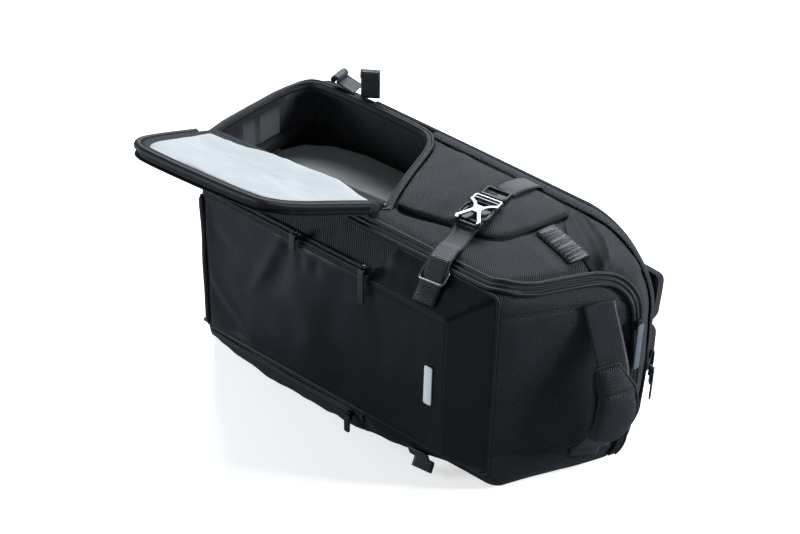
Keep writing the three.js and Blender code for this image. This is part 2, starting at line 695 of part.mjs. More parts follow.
// The front pocket's outline at any share of the way out from where it is sewn on to its face
function pocketRing(share, grow = 0) {
  const mix = (key) => lerp(POCKET_BACK[key], POCKET_FACE[key], share);
  const left = mix("base") * LENGTH - grow;
  const right = mix("end") * LENGTH + grow;
  const radius = mix("radius") * MID + grow;
  const y = -GAP - share * (POCKET_DEPTH - GAP) - (2 * share - 1) * grow;
  const highLeft = mix("halfBase") * MID + grow;
  const highRight = mix("halfEnd") * MID + grow;
  const corners = [[left, highLeft, 180], [right, highRight, 90], [right, -highRight, 0], [left, -highLeft, -90]];
  const ring = [];
  for (const [x, z, start] of corners) {
    const sag = z < 0 ? sagAt(share, x === left ? 0 : 1) : 0;
    for (let i = 0; i <= 3; i += 1) {
      const a = radians(start - 30 * i);
      ring.push(point(
        x + (x === left ? radius : -radius) + radius * Math.cos(a),
        y,
        MID + z - sag - Math.sign(z) * radius + radius * Math.sin(a),
      ));
    }
    if (z < 0 && x === right) {
      for (const { along } of SAG_ALONG.slice(1, -1).reverse()) {
        ring.push(point(lerp(left, right, along), y, MID - lerp(highLeft, highRight, along) - sagAt(share, along)));
      }
    }
  }
  return ring;
}
const pocketSolid = (grow) => solidOf(loft(POCKET_SAG.map(({ share }) => pocketRing(share, grow))));

// How far a point of the pocket's face is pressed in by its folds
const faceLength = (POCKET_FACE.end - POCKET_FACE.base) * LENGTH;
const faceHeight = 2 * POCKET_FACE.halfEnd * MID;
const onFace = (x, z) => [POCKET_FACE.base * LENGTH + x * faceLength, MID - faceHeight / 2 + z * faceHeight];
function foldDepth(x, z) {
  return POCKET_FOLDS.reduce((sum, fold) => {
    const from = new THREE.Vector2(...onFace(fold.fromX, fold.fromZ));
    const line = new THREE.Vector2(...onFace(fold.toX, fold.toZ)).sub(from);
    const at = new THREE.Vector2(x, z).sub(from);
    const along = at.dot(line) / line.lengthSq();
    const away = Math.abs(at.cross(line)) / line.length();
    const ends = THREE.MathUtils.smoothstep(along, -0.1, 0.25) * (1 - THREE.MathUtils.smoothstep(along, 0.75, 1.1));
    return sum + fold.depth * ends * Math.exp(-((away / (fold.width / 2)) ** 2));
  }, 0);
}

// The front pocket: a faceted cover open to the body, its coated part and its twill gusset
function makeFrontPocket() {
  const hollow = solidOf(loft([pocketRing(-0.2, -CLOTH), ...POCKET_SAG.map(({ share }) => pocketRing(share, -CLOTH))]));
  const columns = 22;
  const rows = 10;
  const front = [];
  for (let i = 0; i <= columns; i += 1) {
    const ring = [];
    for (let j = 0; j <= rows; j += 1) {
      const [x, z] = onFace(-0.05 + (1.1 * i) / columns, -0.05 + (1.1 * j) / rows);
      ring.push(point(x, -POCKET_DEPTH + foldDepth(x, z), z));
    }
    const bottom = ring[0];
    const top = ring[rows];
    ring.push(point(top.x, -2 * POCKET_DEPTH, top.z), point(bottom.x, -2 * POCKET_DEPTH, bottom.z));
    front.push(ring);
  }
  const pressed = solidOf(loft(front));
  const cover = pocketSolid(0).subtract(hollow).subtract(pressed);
  const [faceBase, faceBottom] = onFace(0, 0);
  const [, faceTop] = onFace(1, 1);
  const zipEnd = POCKET_ZIP_END * LENGTH;
  const lean = POCKET_DEPTH * 0.7;
  const region = (inset) => [
    [-REACH, faceTop + REACH],
    [zipEnd + lean * (REACH / POCKET_DEPTH) - inset, faceTop + REACH],
    [zipEnd - inset, faceTop + inset],
    [faceBase - inset, faceTop + inset],
    [faceBase - inset, faceBottom - inset],
    [zipEnd - inset, faceBottom - inset],
    [zipEnd + lean * (REACH / POCKET_DEPTH) - inset, faceBottom - REACH],
    [-REACH, faceBottom - REACH],
  ];
  piece("front_pocket", cover.subtract(prism(region(0), "y", -REACH, REACH)), COATED);
  piece("pocket_gusset", cover.intersect(prism(region(GAP), "y", -REACH, REACH)), TWILL);
}

// A point and the outward direction on the pocket's upper or lower slope
function onSlope(x, share, side) {
  const along = (x / LENGTH - POCKET_BACK.base) / (POCKET_BACK.end - POCKET_BACK.base);
  const back = lerp(POCKET_BACK.halfBase, POCKET_BACK.halfEnd, along);
  const onSection = (at) => point(
    x,
    -GAP - at * (POCKET_DEPTH - GAP),
    MID + side * (MID * lerp(back, POCKET_FACE.halfEnd, at) + (side < 0 ? sagAt(at, along) : 0)),
  );
  const step = 0.02;
  const towardsFace = onSection(Math.min(share + step, 1)).sub(onSection(share - step));
  const out = point(0, side * towardsFace.z, -side * towardsFace.y).normalize();
  return { at: onSection(share), out };
}

// The covered zips along the top and bottom edges of the pocket's face
function makePocketZips() {
  const tapeWidth = 8;
  const layer = pocketSolid(GAP + TAPE_THICKNESS).subtract(pocketSolid(GAP));
  for (const { name, side, share } of POCKET_ZIPS) {
    const [from, to] = [POCKET_FACE.base + 0.012, POCKET_ZIP_END - 0.004];
    const path = [0, 0.12, 0.26, 0.5, 0.75, 1].map((t) => onSlope(lerp(from, to, t) * LENGTH, share, side));
    piece(name, layer.intersect(cutter(side > 0 ? [path[0], path.at(-1)] : path, tapeWidth, 5)), TAPE);
  }
}

// The height of what the side strap runs over, at a point of the plan
function strapBed(x, y) {
  if (y >= 0) {
    return upperHeight(x, y);
  }
  return onSlope(x, -y / POCKET_DEPTH, 1).at.z;
}

// A group on the plan, turned about the upright, in which a strap runs along Y
function strapFrame(place, turn) {
  const frame = new THREE.Group();
  frame.position.set(place.x * LENGTH, place.y * BODY_DEPTH, 0);
  frame.rotation.z = radians(turn);
  pack.add(frame);
  return frame;
}

// A flat strap from its path seen edge on, in the plane of Y and Z, centred on X
function flatStrap(path, thickness, width) {
  return prism(thickened(path, thickness), "x", -width / 2, width / 2);
}

// A closed loop of round wire through points
function wireLoop(points, radius, sides = 6) {
  const centre = points.reduce((sum, p) => sum.add(p), point(0, 0, 0)).divideScalar(points.length);
  const up = points[1].clone().sub(points[0]).cross(points[0].clone().sub(centre)).normalize();
  const rings = points.map((p, i) => {
    const before = points[(i + points.length - 1) % points.length];
    const after = points[(i + 1) % points.length];
    const out = after.clone().sub(before).cross(up).normalize();
    const ring = [];
    for (let k = 0; k < sides; k += 1) {
      const a = (2 * Math.PI * k) / sides;
      ring.push(p.clone().addScaledVector(out, radius * Math.cos(a)).addScaledVector(up, radius * Math.sin(a)));
    }
    return ring;
  });
  return solidOf(loft(rings, true));
}

// The side strap with its ring, and the side release buckle and its anchor
function makeSideStrap() {
  const frame = strapFrame(STRAP_AT, STRAP_TURN);
  const cos = Math.cos(radians(STRAP_TURN));
  const runAt = ({ y, out, lift }, side = 1) => {
    const depth = y === undefined ? -out * POCKET_DEPTH : y * BODY_DEPTH;
    const along = (depth - frame.position.y) / cos;
    const x = frame.position.x - along * Math.sin(radians(STRAP_TURN));
    return [along, side > 0 ? strapBed(x, depth) + lift : onSlope(x, out, side).at.z - lift];
  };
  const run = STRAP_RUN.map((row) => runAt(row));
  piece("side_strap", flatStrap(run, WEBBING, SIDE_WEBBING_WIDTH), WEB, frame);
  const lowerRun = LOWER_STRAP_RUN.map((row) => runAt(row, -1));
  piece("lower_side_strap", flatStrap(lowerRun, WEBBING, SIDE_WEBBING_WIDTH), WEB, frame);

  const [farAlong, farHigh] = runAt({ out: 0.12, lift: 10 });
  const [nearAlong, nearHigh] = runAt({ out: 0.55, lift: 4.9 });
  const wire = RING_WIRE / 2;
  const high = 1.7 * (WEBBING / 2 + wire + GAP);
  const centre = point(0, (farAlong + nearAlong) / 2, (farHigh - high + nearHigh + high) / 2);
  const along = point(0, nearAlong - farAlong, nearHigh + high - (farHigh - high));
  const ringWidth = SIDE_WEBBING_WIDTH + RING_WIRE + 4 * GAP;
  const ringPoints = roundedRectangle(ringWidth, along.length(), 4, 3).map(([a, b]) => centre.clone()
    .addScaledVector(point(1, 0, 0), a)
    .addScaledVector(along.clone().normalize(), b));
  piece("strap_ring", wireLoop(ringPoints, wire), SILVER, frame);

  const bed = [-1, 0, 1].flatMap((a) => [-1, 0, 1].map((b) => upperHeight(
    frame.position.x + (a * BUCKLE_WIDTH) / 2,
    frame.position.y + b * BUCKLE_LENGTH,
  )));
  const seat = Math.max(...bed) + PANEL_THICKNESS + 3 * GAP;
  const buckle = new THREE.Group();
  buckle.position.z = seat;
  frame.add(buckle);
  const socketHigh = BUCKLE_THICKNESS * 0.7;
  const slotDepth = BUCKLE_LENGTH / 5;
  const slot = prism([[-1, -1], [1, -1], [1, 0.62], [-1, 0.62]].map(([a, b]) => [
    (a * (SIDE_WEBBING_WIDTH + 4 * GAP)) / 2,
    b * socketHigh,
  ]), "y", -BUCKLE_LENGTH, slotDepth - BUCKLE_LENGTH / 2);
  const socket = prism(roundedRectangle(BUCKLE_WIDTH - 4, BUCKLE_LENGTH, 5), "z", 0, socketHigh);
  piece("buckle_socket", socket.subtract(slot), BLACK_PLASTIC, buckle);
  const wide = BUCKLE_WIDTH / 2;
  const long = BUCKLE_LENGTH / 2;
  const bite = (centreX, centreY, radiusX, radiusY) => prism(
    roundedRectangle(2, 2, 1, 5).map(([a, b]) => [centreX + a * radiusX, centreY + b * radiusY]),
    "z",
    -1,
    BUCKLE_THICKNESS + 1,
  );
  const cover = prism(roundedRectangle(BUCKLE_WIDTH, BUCKLE_LENGTH, 4), "z", socketHigh + GAP, BUCKLE_THICKNESS)
    .subtract(bite(wide * 1.15, 0, wide * 0.75, long * 0.62))
    .subtract(bite(-wide * 1.15, 0, wide * 0.75, long * 0.62))
    .subtract(bite(0, long * 0.62, wide * 0.66, long * 0.25))
    .subtract(bite(0, -long * 1.02, wide * 0.7, long * 0.6));
  piece("buckle_cover", cover, SILVER, buckle);

  const anchor = strapFrame(ANCHOR_AT, ANCHOR_TURN);
  const anchorX = anchor.position.x;
  const anchorSpan = ANCHOR_LENGTH / 2;
  const liftAt = (v, lift) => [v, upperHeight(anchorX, anchor.position.y + v) + lift];
  const plugHigh = seat + BUCKLE_THICKNESS / 2;
  const anchorRun = [[-anchorSpan, plugHigh], [-anchorSpan * 0.6, plugHigh], liftAt(-anchorSpan * 0.1, 8.5)];
  anchorRun.push(liftAt(anchorSpan * 0.4, 6.8), liftAt(anchorSpan * 0.75, 4.4), liftAt(anchorSpan, 1.4));
  piece("strap_anchor", flatStrap(anchorRun, WEBBING, SIDE_WEBBING_WIDTH), WEB, anchor);
  const plugLength = BUCKLE_LENGTH / 2 - 1;
  const plug = new THREE.Group();
  plug.position.set(0, BUCKLE_LENGTH / 2 + GAP + plugLength / 2, seat);
  frame.add(plug);
  const body = prism(roundedRectangle(BUCKLE_WIDTH - 3, plugLength, 4), "z", 0.6, BUCKLE_THICKNESS - 0.6);
  pack.updateWorldMatrix(false, true);
  const toPlug = plug.matrixWorld.clone().invert().multiply(anchor.matrixWorld);
  const roomHalf = SIDE_WEBBING_WIDTH / 2 + 2 * GAP;
  const room = prismGeometry(thickened(anchorRun, WEBBING + 4 * GAP), "x", -roomHalf, roomHalf);
  piece("buckle_plug", body.subtract(solidOf(room.applyMatrix4(toPlug))), BLACK_PLASTIC, plug);
}

// How far out the top end reaches at a depth and a height
function endReach(y, z) {
  const ring = bodyRing(y / BODY_DEPTH);
  const first = 2 * CORNER_STEPS + SIDE_STEPS - CORNER_STEPS;
  const side = ring.slice(first, first + 2 * CORNER_STEPS + SIDE_STEPS + 1);
  for (let i = 0; i + 1 < side.length; i += 1) {
    const a = side[i];
    const b = side[i + 1];
    if (z <= a.z && z >= b.z) {
      return lerp(a.x, b.x, (a.z - z) / Math.max(a.z - b.z, 1e-6));
    }
  }
  return side[0].x;
}

// The grab handle: webbing sewn on at both ends, through a padded grip
function makeHandle() {
  const y = HANDLE_DEPTH * BODY_DEPTH;
  const step = 0.1 * BODY_DEPTH;
  const slope = point(endReach(y + step, MID) - endReach(y - step, MID), 2 * step, 0).normalize();
  const frame = new THREE.Group();
  frame.position.set(endReach(y, MID), y, MID);
  frame.rotation.set(radians(HANDLE_LEAN), 0, Math.atan2(slope.y, slope.x) - Math.PI / 2, "ZXY");
  pack.add(frame);
  const outwards = slope.y;
  const run = HANDLE_RUN.map((row) => {
    const z = row.z * WIDTH;
    const skin = (endReach(y, z) - frame.position.x) * outwards;
    return [skin + WEBBING / 2 + row.out * HANDLE_RISE, z - MID];
  });
  const across = (path, thickness, width) => {
    const geometry = new THREE.ExtrudeGeometry(
      new THREE.Shape(thickened(path, thickness).map(([a, b]) => new THREE.Vector2(a, b))),
      { depth: width, bevelEnabled: false },
    );
    geometry.translate(0, 0, -width / 2);
    return solidOf(geometry.rotateX(Math.PI / 2));
  };
  const clear = bodySolid(GAP, frame);
  piece("handle_webbing", across(run, WEBBING, HANDLE_WEBBING_WIDTH).subtract(clear), WEB, frame);
  const gripTop = GRIP_TOP * WIDTH - MID;
  const curve = new THREE.SplineCurve(run.map(([a, b]) => new THREE.Vector2(a, b)));
  const fine = curve.getPoints(80).filter((p) => p.y <= gripTop && p.y >= gripTop - GRIP_LENGTH);
  const stations = 8;
  const rings = [];
  for (let i = 0; i <= stations; i += 1) {
    const k = Math.round((i * (fine.length - 1)) / stations);
    const ahead = fine[Math.min(k + 1, fine.length - 1)].clone().sub(fine[Math.max(k - 1, 0)]).normalize();
    const taper = i === 0 || i === stations ? 0.8 : 1;
    rings.push(roundedRectangle(GRIP_THICKNESS * taper, GRIP_WIDTH * taper, GRIP_THICKNESS * 0.38).map(([a, b]) => (
      point(fine[k].x - a * ahead.y, b, fine[k].y + a * ahead.x)
    )));
  }
  const sleeve = across(run, WEBBING + 2 * GAP, HANDLE_WEBBING_WIDTH + 2 * GAP);
  piece("handle_grip", solidOf(loft(rings)).subtract(sleeve), TWILL, frame);
}

// A pad or strap on the back: an outline in the plane of X and Z between two depths, its outer edge rounded
function backPad(outline, from, to, round) {
  const ringAt = (inset, y) => grown(outline, -inset).map(([x, z]) => point(x, y, z));
  const shoulder = to - round;
  const rings = [ringAt(0, from), ringAt(0, shoulder), ringAt(round * 0.3, to - round * 0.3), ringAt(round, to)];
  const points = rings.flat();
  const count = outline.length;
  const index = [];
  for (let r = 0; r + 1 < rings.length; r += 1) {
    for (let i = 0; i < count; i += 1) {
      const j = (i + 1) % count;
      index.push(r * count + i, (r + 1) * count + i, (r + 1) * count + j);
      index.push(r * count + i, (r + 1) * count + j, r * count + j);
    }
  }
  const flat = outline.map(([x, z]) => new THREE.Vector2(x, z));
  const last = (rings.length - 1) * count;
  for (const face of THREE.ShapeUtils.triangulateShape(flat, [])) {
    const [a, b, c] = THREE.ShapeUtils.isClockWise(flat) ? face.reverse() : face;
    index.push(a, b, c);
    index.push(last + a, last + c, last + b);
  }
  const geometry = new THREE.BufferGeometry().setFromPoints(points);
  geometry.setIndex(index);
  return geometry;
}

// The padded back, the shoulder straps and what joins them
function makeHarness() {
  const seat = BODY_DEPTH + GAP;
  const padTop = seat + BACK_PAD_THICKNESS;
  const back = bodyRing(1).map((p) => [p.x, p.z]);
  const rim = 8;
  const inset = grown(back, -rim);
  const strip = (from, to) => prism([[from, -REACH], [to, -REACH], [to, REACH], [from, REACH]], "y", -REACH, REACH);
  for (const pad of BACK_PADS) {
    const whole = solidOf(backPad(inset, seat, padTop, BACK_PAD_THICKNESS * 0.4));
    piece(pad.name, whole.intersect(strip(pad.from * LENGTH, pad.to * LENGTH)), MESH_FABRIC);
  }
  const yoke = prism(grown(back, -rim / 2), "y", seat, padTop);
  const yokeHalf = (SHOULDER_STRAP[0].z + STRAP_WIDTH / WIDTH / 2) * WIDTH;
  const yokeBox = prism([[-REACH, MID - yokeHalf], [REACH, MID - yokeHalf], [REACH, MID + yokeHalf],
    [-REACH, MID + yokeHalf]], "y", -REACH, REACH);
  const yokeFrom = BACK_PADS[1].to * LENGTH + 2;
  piece("strap_yoke", yoke.intersect(yokeBox).intersect(strip(yokeFrom, REACH)), TWILL);
  const strapSeat = padTop + GAP;
  const outer = strapSeat + STRAP_THICKNESS;
  const lower = SHOULDER_STRAP.at(-1);
  for (const [side, sign] of [["upper", 1], ["lower", -1]]) {
    const middle = SHOULDER_STRAP.map((row) => [row.x * LENGTH, MID + sign * row.z * WIDTH, row.width * STRAP_WIDTH]);
    const edges = [[], []];
    middle.forEach(([x, z, width], i) => {
      const [px, pz] = middle[Math.max(i - 1, 0)];
      const [nx, nz] = middle[Math.min(i + 1, middle.length - 1)];
      const long = Math.hypot(nx - px, nz - pz);
      edges[0].push([x - ((nz - pz) / long) * (width / 2), z + ((nx - px) / long) * (width / 2)]);
      edges[1].push([x + ((nz - pz) / long) * (width / 2), z - ((nx - px) / long) * (width / 2)]);
    });
    const outline = [...edges[0], ...edges[1].reverse()];
    piece("shoulder_strap_" + side, solidOf(backPad(outline, strapSeat, outer, 3)), MESH_FABRIC);

    const lock = new THREE.Group();
    const lockLength = 24;
    lock.position.set(lower.x * LENGTH - GAP, 0, MID + sign * lower.z * WIDTH);
    lock.rotation.y = radians(9 * sign);
    pack.add(lock);
    const lockFrom = strapSeat + STRAP_THICKNESS / 2;
    const lockOutline = roundedRectangle(lockLength, STRAP_WEBBING_WIDTH + 8, 4);
    const lockPlate = prism(lockOutline.map(([a, b]) => [a - lockLength / 2 - 3, b]), "y", lockFrom - 5, lockFrom);
    piece("ladder_lock_" + side, lockPlate, BLACK_PLASTIC, lock);
    const baseEnd = 0.03 * LENGTH - lock.position.x;
    const run = [
      [-6, lockFrom + 1.4],
      [-lockLength - 2, lockFrom + 1.4],
      [-lockLength - 18, strapSeat + 1.6],
      [(BACK_PADS[0].from - 0.012) * LENGTH - lock.position.x, strapSeat + 1.6],
      [baseEnd + 8, seat + 1.6],
      [baseEnd, seat + 1.4],
    ];
    const ribbon = prism(thickened(run, WEBBING), "z", -STRAP_WEBBING_WIDTH / 2, STRAP_WEBBING_WIDTH / 2);
    piece("strap_webbing_" + side, ribbon, WEB, lock);
  }
}

// The folded tail of the upper shoulder strap's webbing, two loops that stand over the back edge
function makeTail() {
  const at = point(TAIL_AT.x * LENGTH, TAIL_AT.y * BODY_DEPTH, 0);
  const high = upperHeight(at.x, at.y) + WEBBING;
  const radius = TAIL_LOOP / 2;
  const steps = 8;
  for (const { name, turn, shift, roll, path } of TAIL_LOOPS) {
    const frame = new THREE.Group();
    frame.position.set(at.x + shift, at.y, high);
    frame.rotation.z = radians(turn);
    pack.add(frame);
    const strap = path.map(({ run, rise }) => [run, rise * TAIL_HEIGHT]);
    const [endAt, endHigh] = strap.at(-1);
    for (let i = 0; i <= steps; i += 1) {
      const a = radians(lerp(10, 250, i / steps));
      strap.push([endAt + roll * radius * (1 - Math.cos(a)), endHigh + radius * (0.6 + Math.sin(a))]);
    }
    piece(name, flatStrap(strap, WEBBING, STRAP_WEBBING_WIDTH), WEB, frame);
  }
}

// The bare name plate on the pocket's face
function makeLabel() {
  const [x, z] = onFace(0.939, 0.478);
  const plate = prism(
    roundedRectangle(LABEL_WIDTH, LABEL_LENGTH, LABEL_WIDTH * 0.22).map(([a, b]) => [x + a, z + b]),
    "y",
    -POCKET_DEPTH - GAP - LABEL_THICKNESS,
    -POCKET_DEPTH - GAP,
  );
  piece("label_plate", plate, LABEL);
}

// A zip slider with its tab hanging from it. at is on the tape, out points away from it.
function makeSlider(name, at, out, tabLength) {
  const frame = new THREE.Group();
  frame.position.copy(at);
  const level = point(out.x, out.y, 0).normalize();
  frame.rotation.z = Math.atan2(level.y, level.x) + Math.PI / 2;
  pack.add(frame);
  const back = 0.2;
  const slider = prism(roundedRectangle(SLIDER_WIDTH, SLIDER_LENGTH, 2.5), "y", -SLIDER_THICKNESS, -back);
  piece(name, slider, SLIDER_METAL, frame);
  const tabBack = -SLIDER_THICKNESS - GAP;
  const tab = prism(roundedRectangle(TAB_WIDTH, tabLength, 2).map(([a, b]) => [a, b - tabLength / 2 + 3]), "y",
    tabBack - TAB_THICKNESS, tabBack);
  piece(name.replace("slider", "tab"), tab, BLACK_PLASTIC, frame);
}

function makeSliders() {
  for (const { name, x, side, tab, off } of POCKET_SLIDERS) {
    const zip = POCKET_ZIPS.find((row) => row.side === side);
    const { at, out } = onSlope(x * LENGTH, zip.share, side);
    makeSlider(name, at.addScaledVector(out, off), point(0, -1, 0), tab);
  }
  for (const { name, place, depth, tab, lift } of BODY_SLIDERS) {
    const out = bodyNormal(place, depth);
    const clear = onBody(place, depth).addScaledVector(out, BAND_THICKNESS + lift);
    makeSlider(name, clear, out, tab);
  }
}

// The small cloth tab at the lower front corner of the base
function makeBaseTab() {
  const outline = roundedRectangle(12, 14, 2).map(([a, b]) => [a - 6 - 2 * GAP, b + 0.06 * BODY_DEPTH]);
  piece("base_tab", prism(outline, "z", 0.05 * WIDTH, 0.05 * WIDTH + 3), WEB);
}

makeBody();
makeInsert();
makeMouthTape();
makeFlap();
makeSidePanels();
makeBand("main_zip_band", MAIN_BAND, BAND_WIDTH);
makeBand("back_zip_band", BACK_BAND, BAND_WIDTH * 0.7);
makeFrontPocket();
makePocketZips();
makeSideStrap();
makeHandle();
makeHarness();
makeTail();
makeLabel();
makeSliders();
makeBaseTab();

// The origin is the middle of the box round the whole pack, on its lower side
const box = new THREE.Box3().setFromObject(pack, true);
const centre = box.getCenter(point(0, 0, 0));
pack.position.set(-centre.x, -centre.y, -box.min.z);

export default pack;
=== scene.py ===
# %% [markdown]
# # A camera backpack that lies on its side
# The pack lies on its right side with the side flap folded open. Its solids come packed as a fixed frame. This
# lesson puts cloth, padding, webbing, zips and light around that frame, piece by piece.
#
# All tables are in millimetres, measured from the lower front corner of the body: x runs from the base to the
# top end, y from the front pocket to the padded back, and z up. The code turns them into metres at the end.

import math

import bmesh
import bpy
import numpy as np
from mathutils import Matrix, Vector
from mathutils.kdtree import KDTree


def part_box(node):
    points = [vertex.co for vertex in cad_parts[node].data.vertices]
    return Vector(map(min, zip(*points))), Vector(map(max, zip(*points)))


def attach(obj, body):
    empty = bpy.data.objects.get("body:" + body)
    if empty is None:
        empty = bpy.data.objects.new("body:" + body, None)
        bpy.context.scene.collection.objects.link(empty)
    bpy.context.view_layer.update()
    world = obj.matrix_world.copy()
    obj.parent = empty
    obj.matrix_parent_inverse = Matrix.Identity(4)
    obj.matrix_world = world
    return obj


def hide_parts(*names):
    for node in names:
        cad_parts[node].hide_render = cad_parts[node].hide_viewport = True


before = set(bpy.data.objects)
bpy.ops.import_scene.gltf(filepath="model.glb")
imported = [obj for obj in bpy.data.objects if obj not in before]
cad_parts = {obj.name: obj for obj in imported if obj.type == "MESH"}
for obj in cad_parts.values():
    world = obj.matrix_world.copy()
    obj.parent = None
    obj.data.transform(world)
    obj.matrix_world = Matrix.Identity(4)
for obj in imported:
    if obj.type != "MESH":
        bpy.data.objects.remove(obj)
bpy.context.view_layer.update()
CORNER = np.array(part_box("body_shell")[0])
print("solids:", len(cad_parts), "body corner at", CORNER.round(4))

# %% [markdown]
# ## The camera
# The camera stands at the photograph's place. Its three axes come from an azimuth, an elevation and a small
# roll, which a matrix takes as columns: right, up and backwards. A long lens keeps the edges almost parallel.

# %% Camera
AZIMUTH = math.radians(38.47)
ELEVATION = math.radians(36.51)
ROLL = math.radians(1.50)
CAMERA_AT = (1214.0, -1167.0, 1344.0)
FOCAL_PIXELS = 1808
FRAME_PIXELS = 800
SENSOR = 36.0


def metres(points):
    """Millimetres from the body's corner, as metres in the frame."""
    return np.asarray(points, float) / 1000.0 + CORNER


backwards = Vector((math.sin(AZIMUTH) * math.cos(ELEVATION), -math.cos(AZIMUTH) * math.cos(ELEVATION),
                    math.sin(ELEVATION)))
level = Vector((math.cos(AZIMUTH), math.sin(AZIMUTH), 0.0))
upright = backwards.cross(level)
right = level * math.cos(ROLL) + upright * math.sin(ROLL)
up = upright * math.cos(ROLL) - level * math.sin(ROLL)
camera_data = bpy.data.cameras.new("camera")
camera_data.sensor_width = SENSOR
camera_data.lens = SENSOR * FOCAL_PIXELS / FRAME_PIXELS
camera_data.clip_end = 20.0
camera = bpy.data.objects.new("camera", camera_data)
bpy.context.scene.collection.objects.link(camera)
camera.matrix_world = Matrix.Translation(metres(CAMERA_AT)) @ Matrix((right, up, backwards)).transposed().to_4x4()
bpy.context.scene.camera = camera
print("camera at", [round(v, 3) for v in camera.location])

# %% [markdown]
# ## Floor and light
# A studio picture of black goods needs soft lights, so that the cloth shows by its sheen and not by its colour.
# One wide panel hangs over the back left, a small one stands low at the front left, another lights the top end,
# and pale surroundings fill the rest a little. The floor is plain and pale.

# %% Floor, surroundings and lamps
FLOOR_HALF, FLOOR_GLOW, ROOM_STRENGTH = 12.0, 0.6, 0.13


def pale_floor():
    mesh = bpy.data.meshes.new("floor")
    mesh.from_pydata([(-FLOOR_HALF, -FLOOR_HALF, 0), (FLOOR_HALF, -FLOOR_HALF, 0), (FLOOR_HALF, FLOOR_HALF, 0),
                      (-FLOOR_HALF, FLOOR_HALF, 0)], [], [(0, 1, 2, 3)])
    floor = bpy.data.objects.new("floor", mesh)
    bpy.context.scene.collection.objects.link(floor)
    finish = bpy.data.materials.new("floor_paper")
    finish.use_nodes = True
    shader = finish.node_tree.nodes["Principled BSDF"]
    shader.inputs["Roughness"].default_value = 0.9
    shader.inputs["Specular IOR Level"].default_value = 0.2
    shader.inputs["Emission Color"].default_value = (1, 1, 1, 1)
    # The paper is white where it is seen, and gives the black cloth less light back, as paper farther off would
    seen = finish.node_tree.nodes.new("ShaderNodeLightPath").outputs["Is Camera Ray"]
    paper = finish.node_tree.nodes.new("ShaderNodeMix")
    paper.data_type = "RGBA"
    paper.inputs[6].default_value = (0.30, 0.32, 0.35, 1)
    paper.inputs[7].default_value = (0.93, 0.93, 0.93, 1)
    glow = finish.node_tree.nodes.new("ShaderNodeMath")
    glow.operation = "MULTIPLY"
    glow.inputs[1].default_value = FLOOR_GLOW
    finish.node_tree.links.new(seen, paper.inputs[0])
    finish.node_tree.links.new(seen, glow.inputs[0])
    finish.node_tree.links.new(paper.outputs[2], shader.inputs["Base Color"])
    finish.node_tree.links.new(glow.outputs[0], shader.inputs["Emission Strength"])
    mesh.materials.append(finish)
    return floor


def lamp(name, place, target, size, size_y, power, tint=(1, 1, 1)):
    """A rectangular soft light at a place, turned towards a target. Places are in metres."""
    data = bpy.data.lights.new(name, "AREA")
    data.shape = "RECTANGLE"
    data.size, data.size_y = size, size_y
    data.energy = power
    data.color = tint
    made = bpy.data.objects.new(name, data)
    bpy.context.scene.collection.objects.link(made)
    made.location = place
    made.rotation_euler = (Vector(target) - Vector(place)).to_track_quat("-Z", "Y").to_euler()
    return made


pale_floor()
world = bpy.data.worlds.new("white_room")
world.use_nodes = True
world.node_tree.nodes["Background"].inputs["Color"].default_value = (0.86, 0.94, 1.0, 1)
world.node_tree.nodes["Background"].inputs["Strength"].default_value = ROOM_STRENGTH
bpy.context.scene.world = world
bpy.context.scene.view_settings.view_transform = "Standard"
middle = (0.0, 0.0, 0.15)
lamp("light_top_back", (-0.7, 1.1, 1.5), middle, 1.4, 0.8, 56, (0.87, 0.94, 1.0))
lamp("light_front_left", (-0.95, -1.0, 0.45), (-0.25, -0.17, 0.15), 0.5, 0.5, 13.0, (0.87, 0.94, 1.0))
lamp("light_end", (1.3, 0.75, 0.75), middle, 0.35, 0.35, 27, (0.90, 0.95, 1.0))

# %% [markdown]
# ## Finishes
# Each effect that several cloths share is a node group: twill, ribs and a slow change of tone. A group gives a
# height or a mask, and the material puts it into its own Principled shader. Groups read the object's own
# coordinates in millimetres, so the weave has the same scale on each piece.

# %% Node helpers
def new_group(name, sockets):
    """An empty node group with named inputs and outputs: (name, "in" or "out", kind, default)."""
    group = bpy.data.node_groups.new(name, "ShaderNodeTree")
    for label, side, kind, default in sockets:
        socket = group.interface.new_socket(label, in_out="INPUT" if side == "in" else "OUTPUT", socket_type=kind)
        if default is not None:
            socket.default_value = default
    return group, group.nodes.new("NodeGroupInput"), group.nodes.new("NodeGroupOutput")


def math_node(tree, operation, first, second=None):
    """A Math node with numbers or sockets as its inputs, and its result."""
    node = tree.nodes.new("ShaderNodeMath")
    node.operation = operation
    for socket, value in zip(node.inputs, (first, second)):
        if value is None:
            continue
        if isinstance(value, (int, float)):
            socket.default_value = value
        else:
            tree.links.new(value, socket)
    return node.outputs[0]


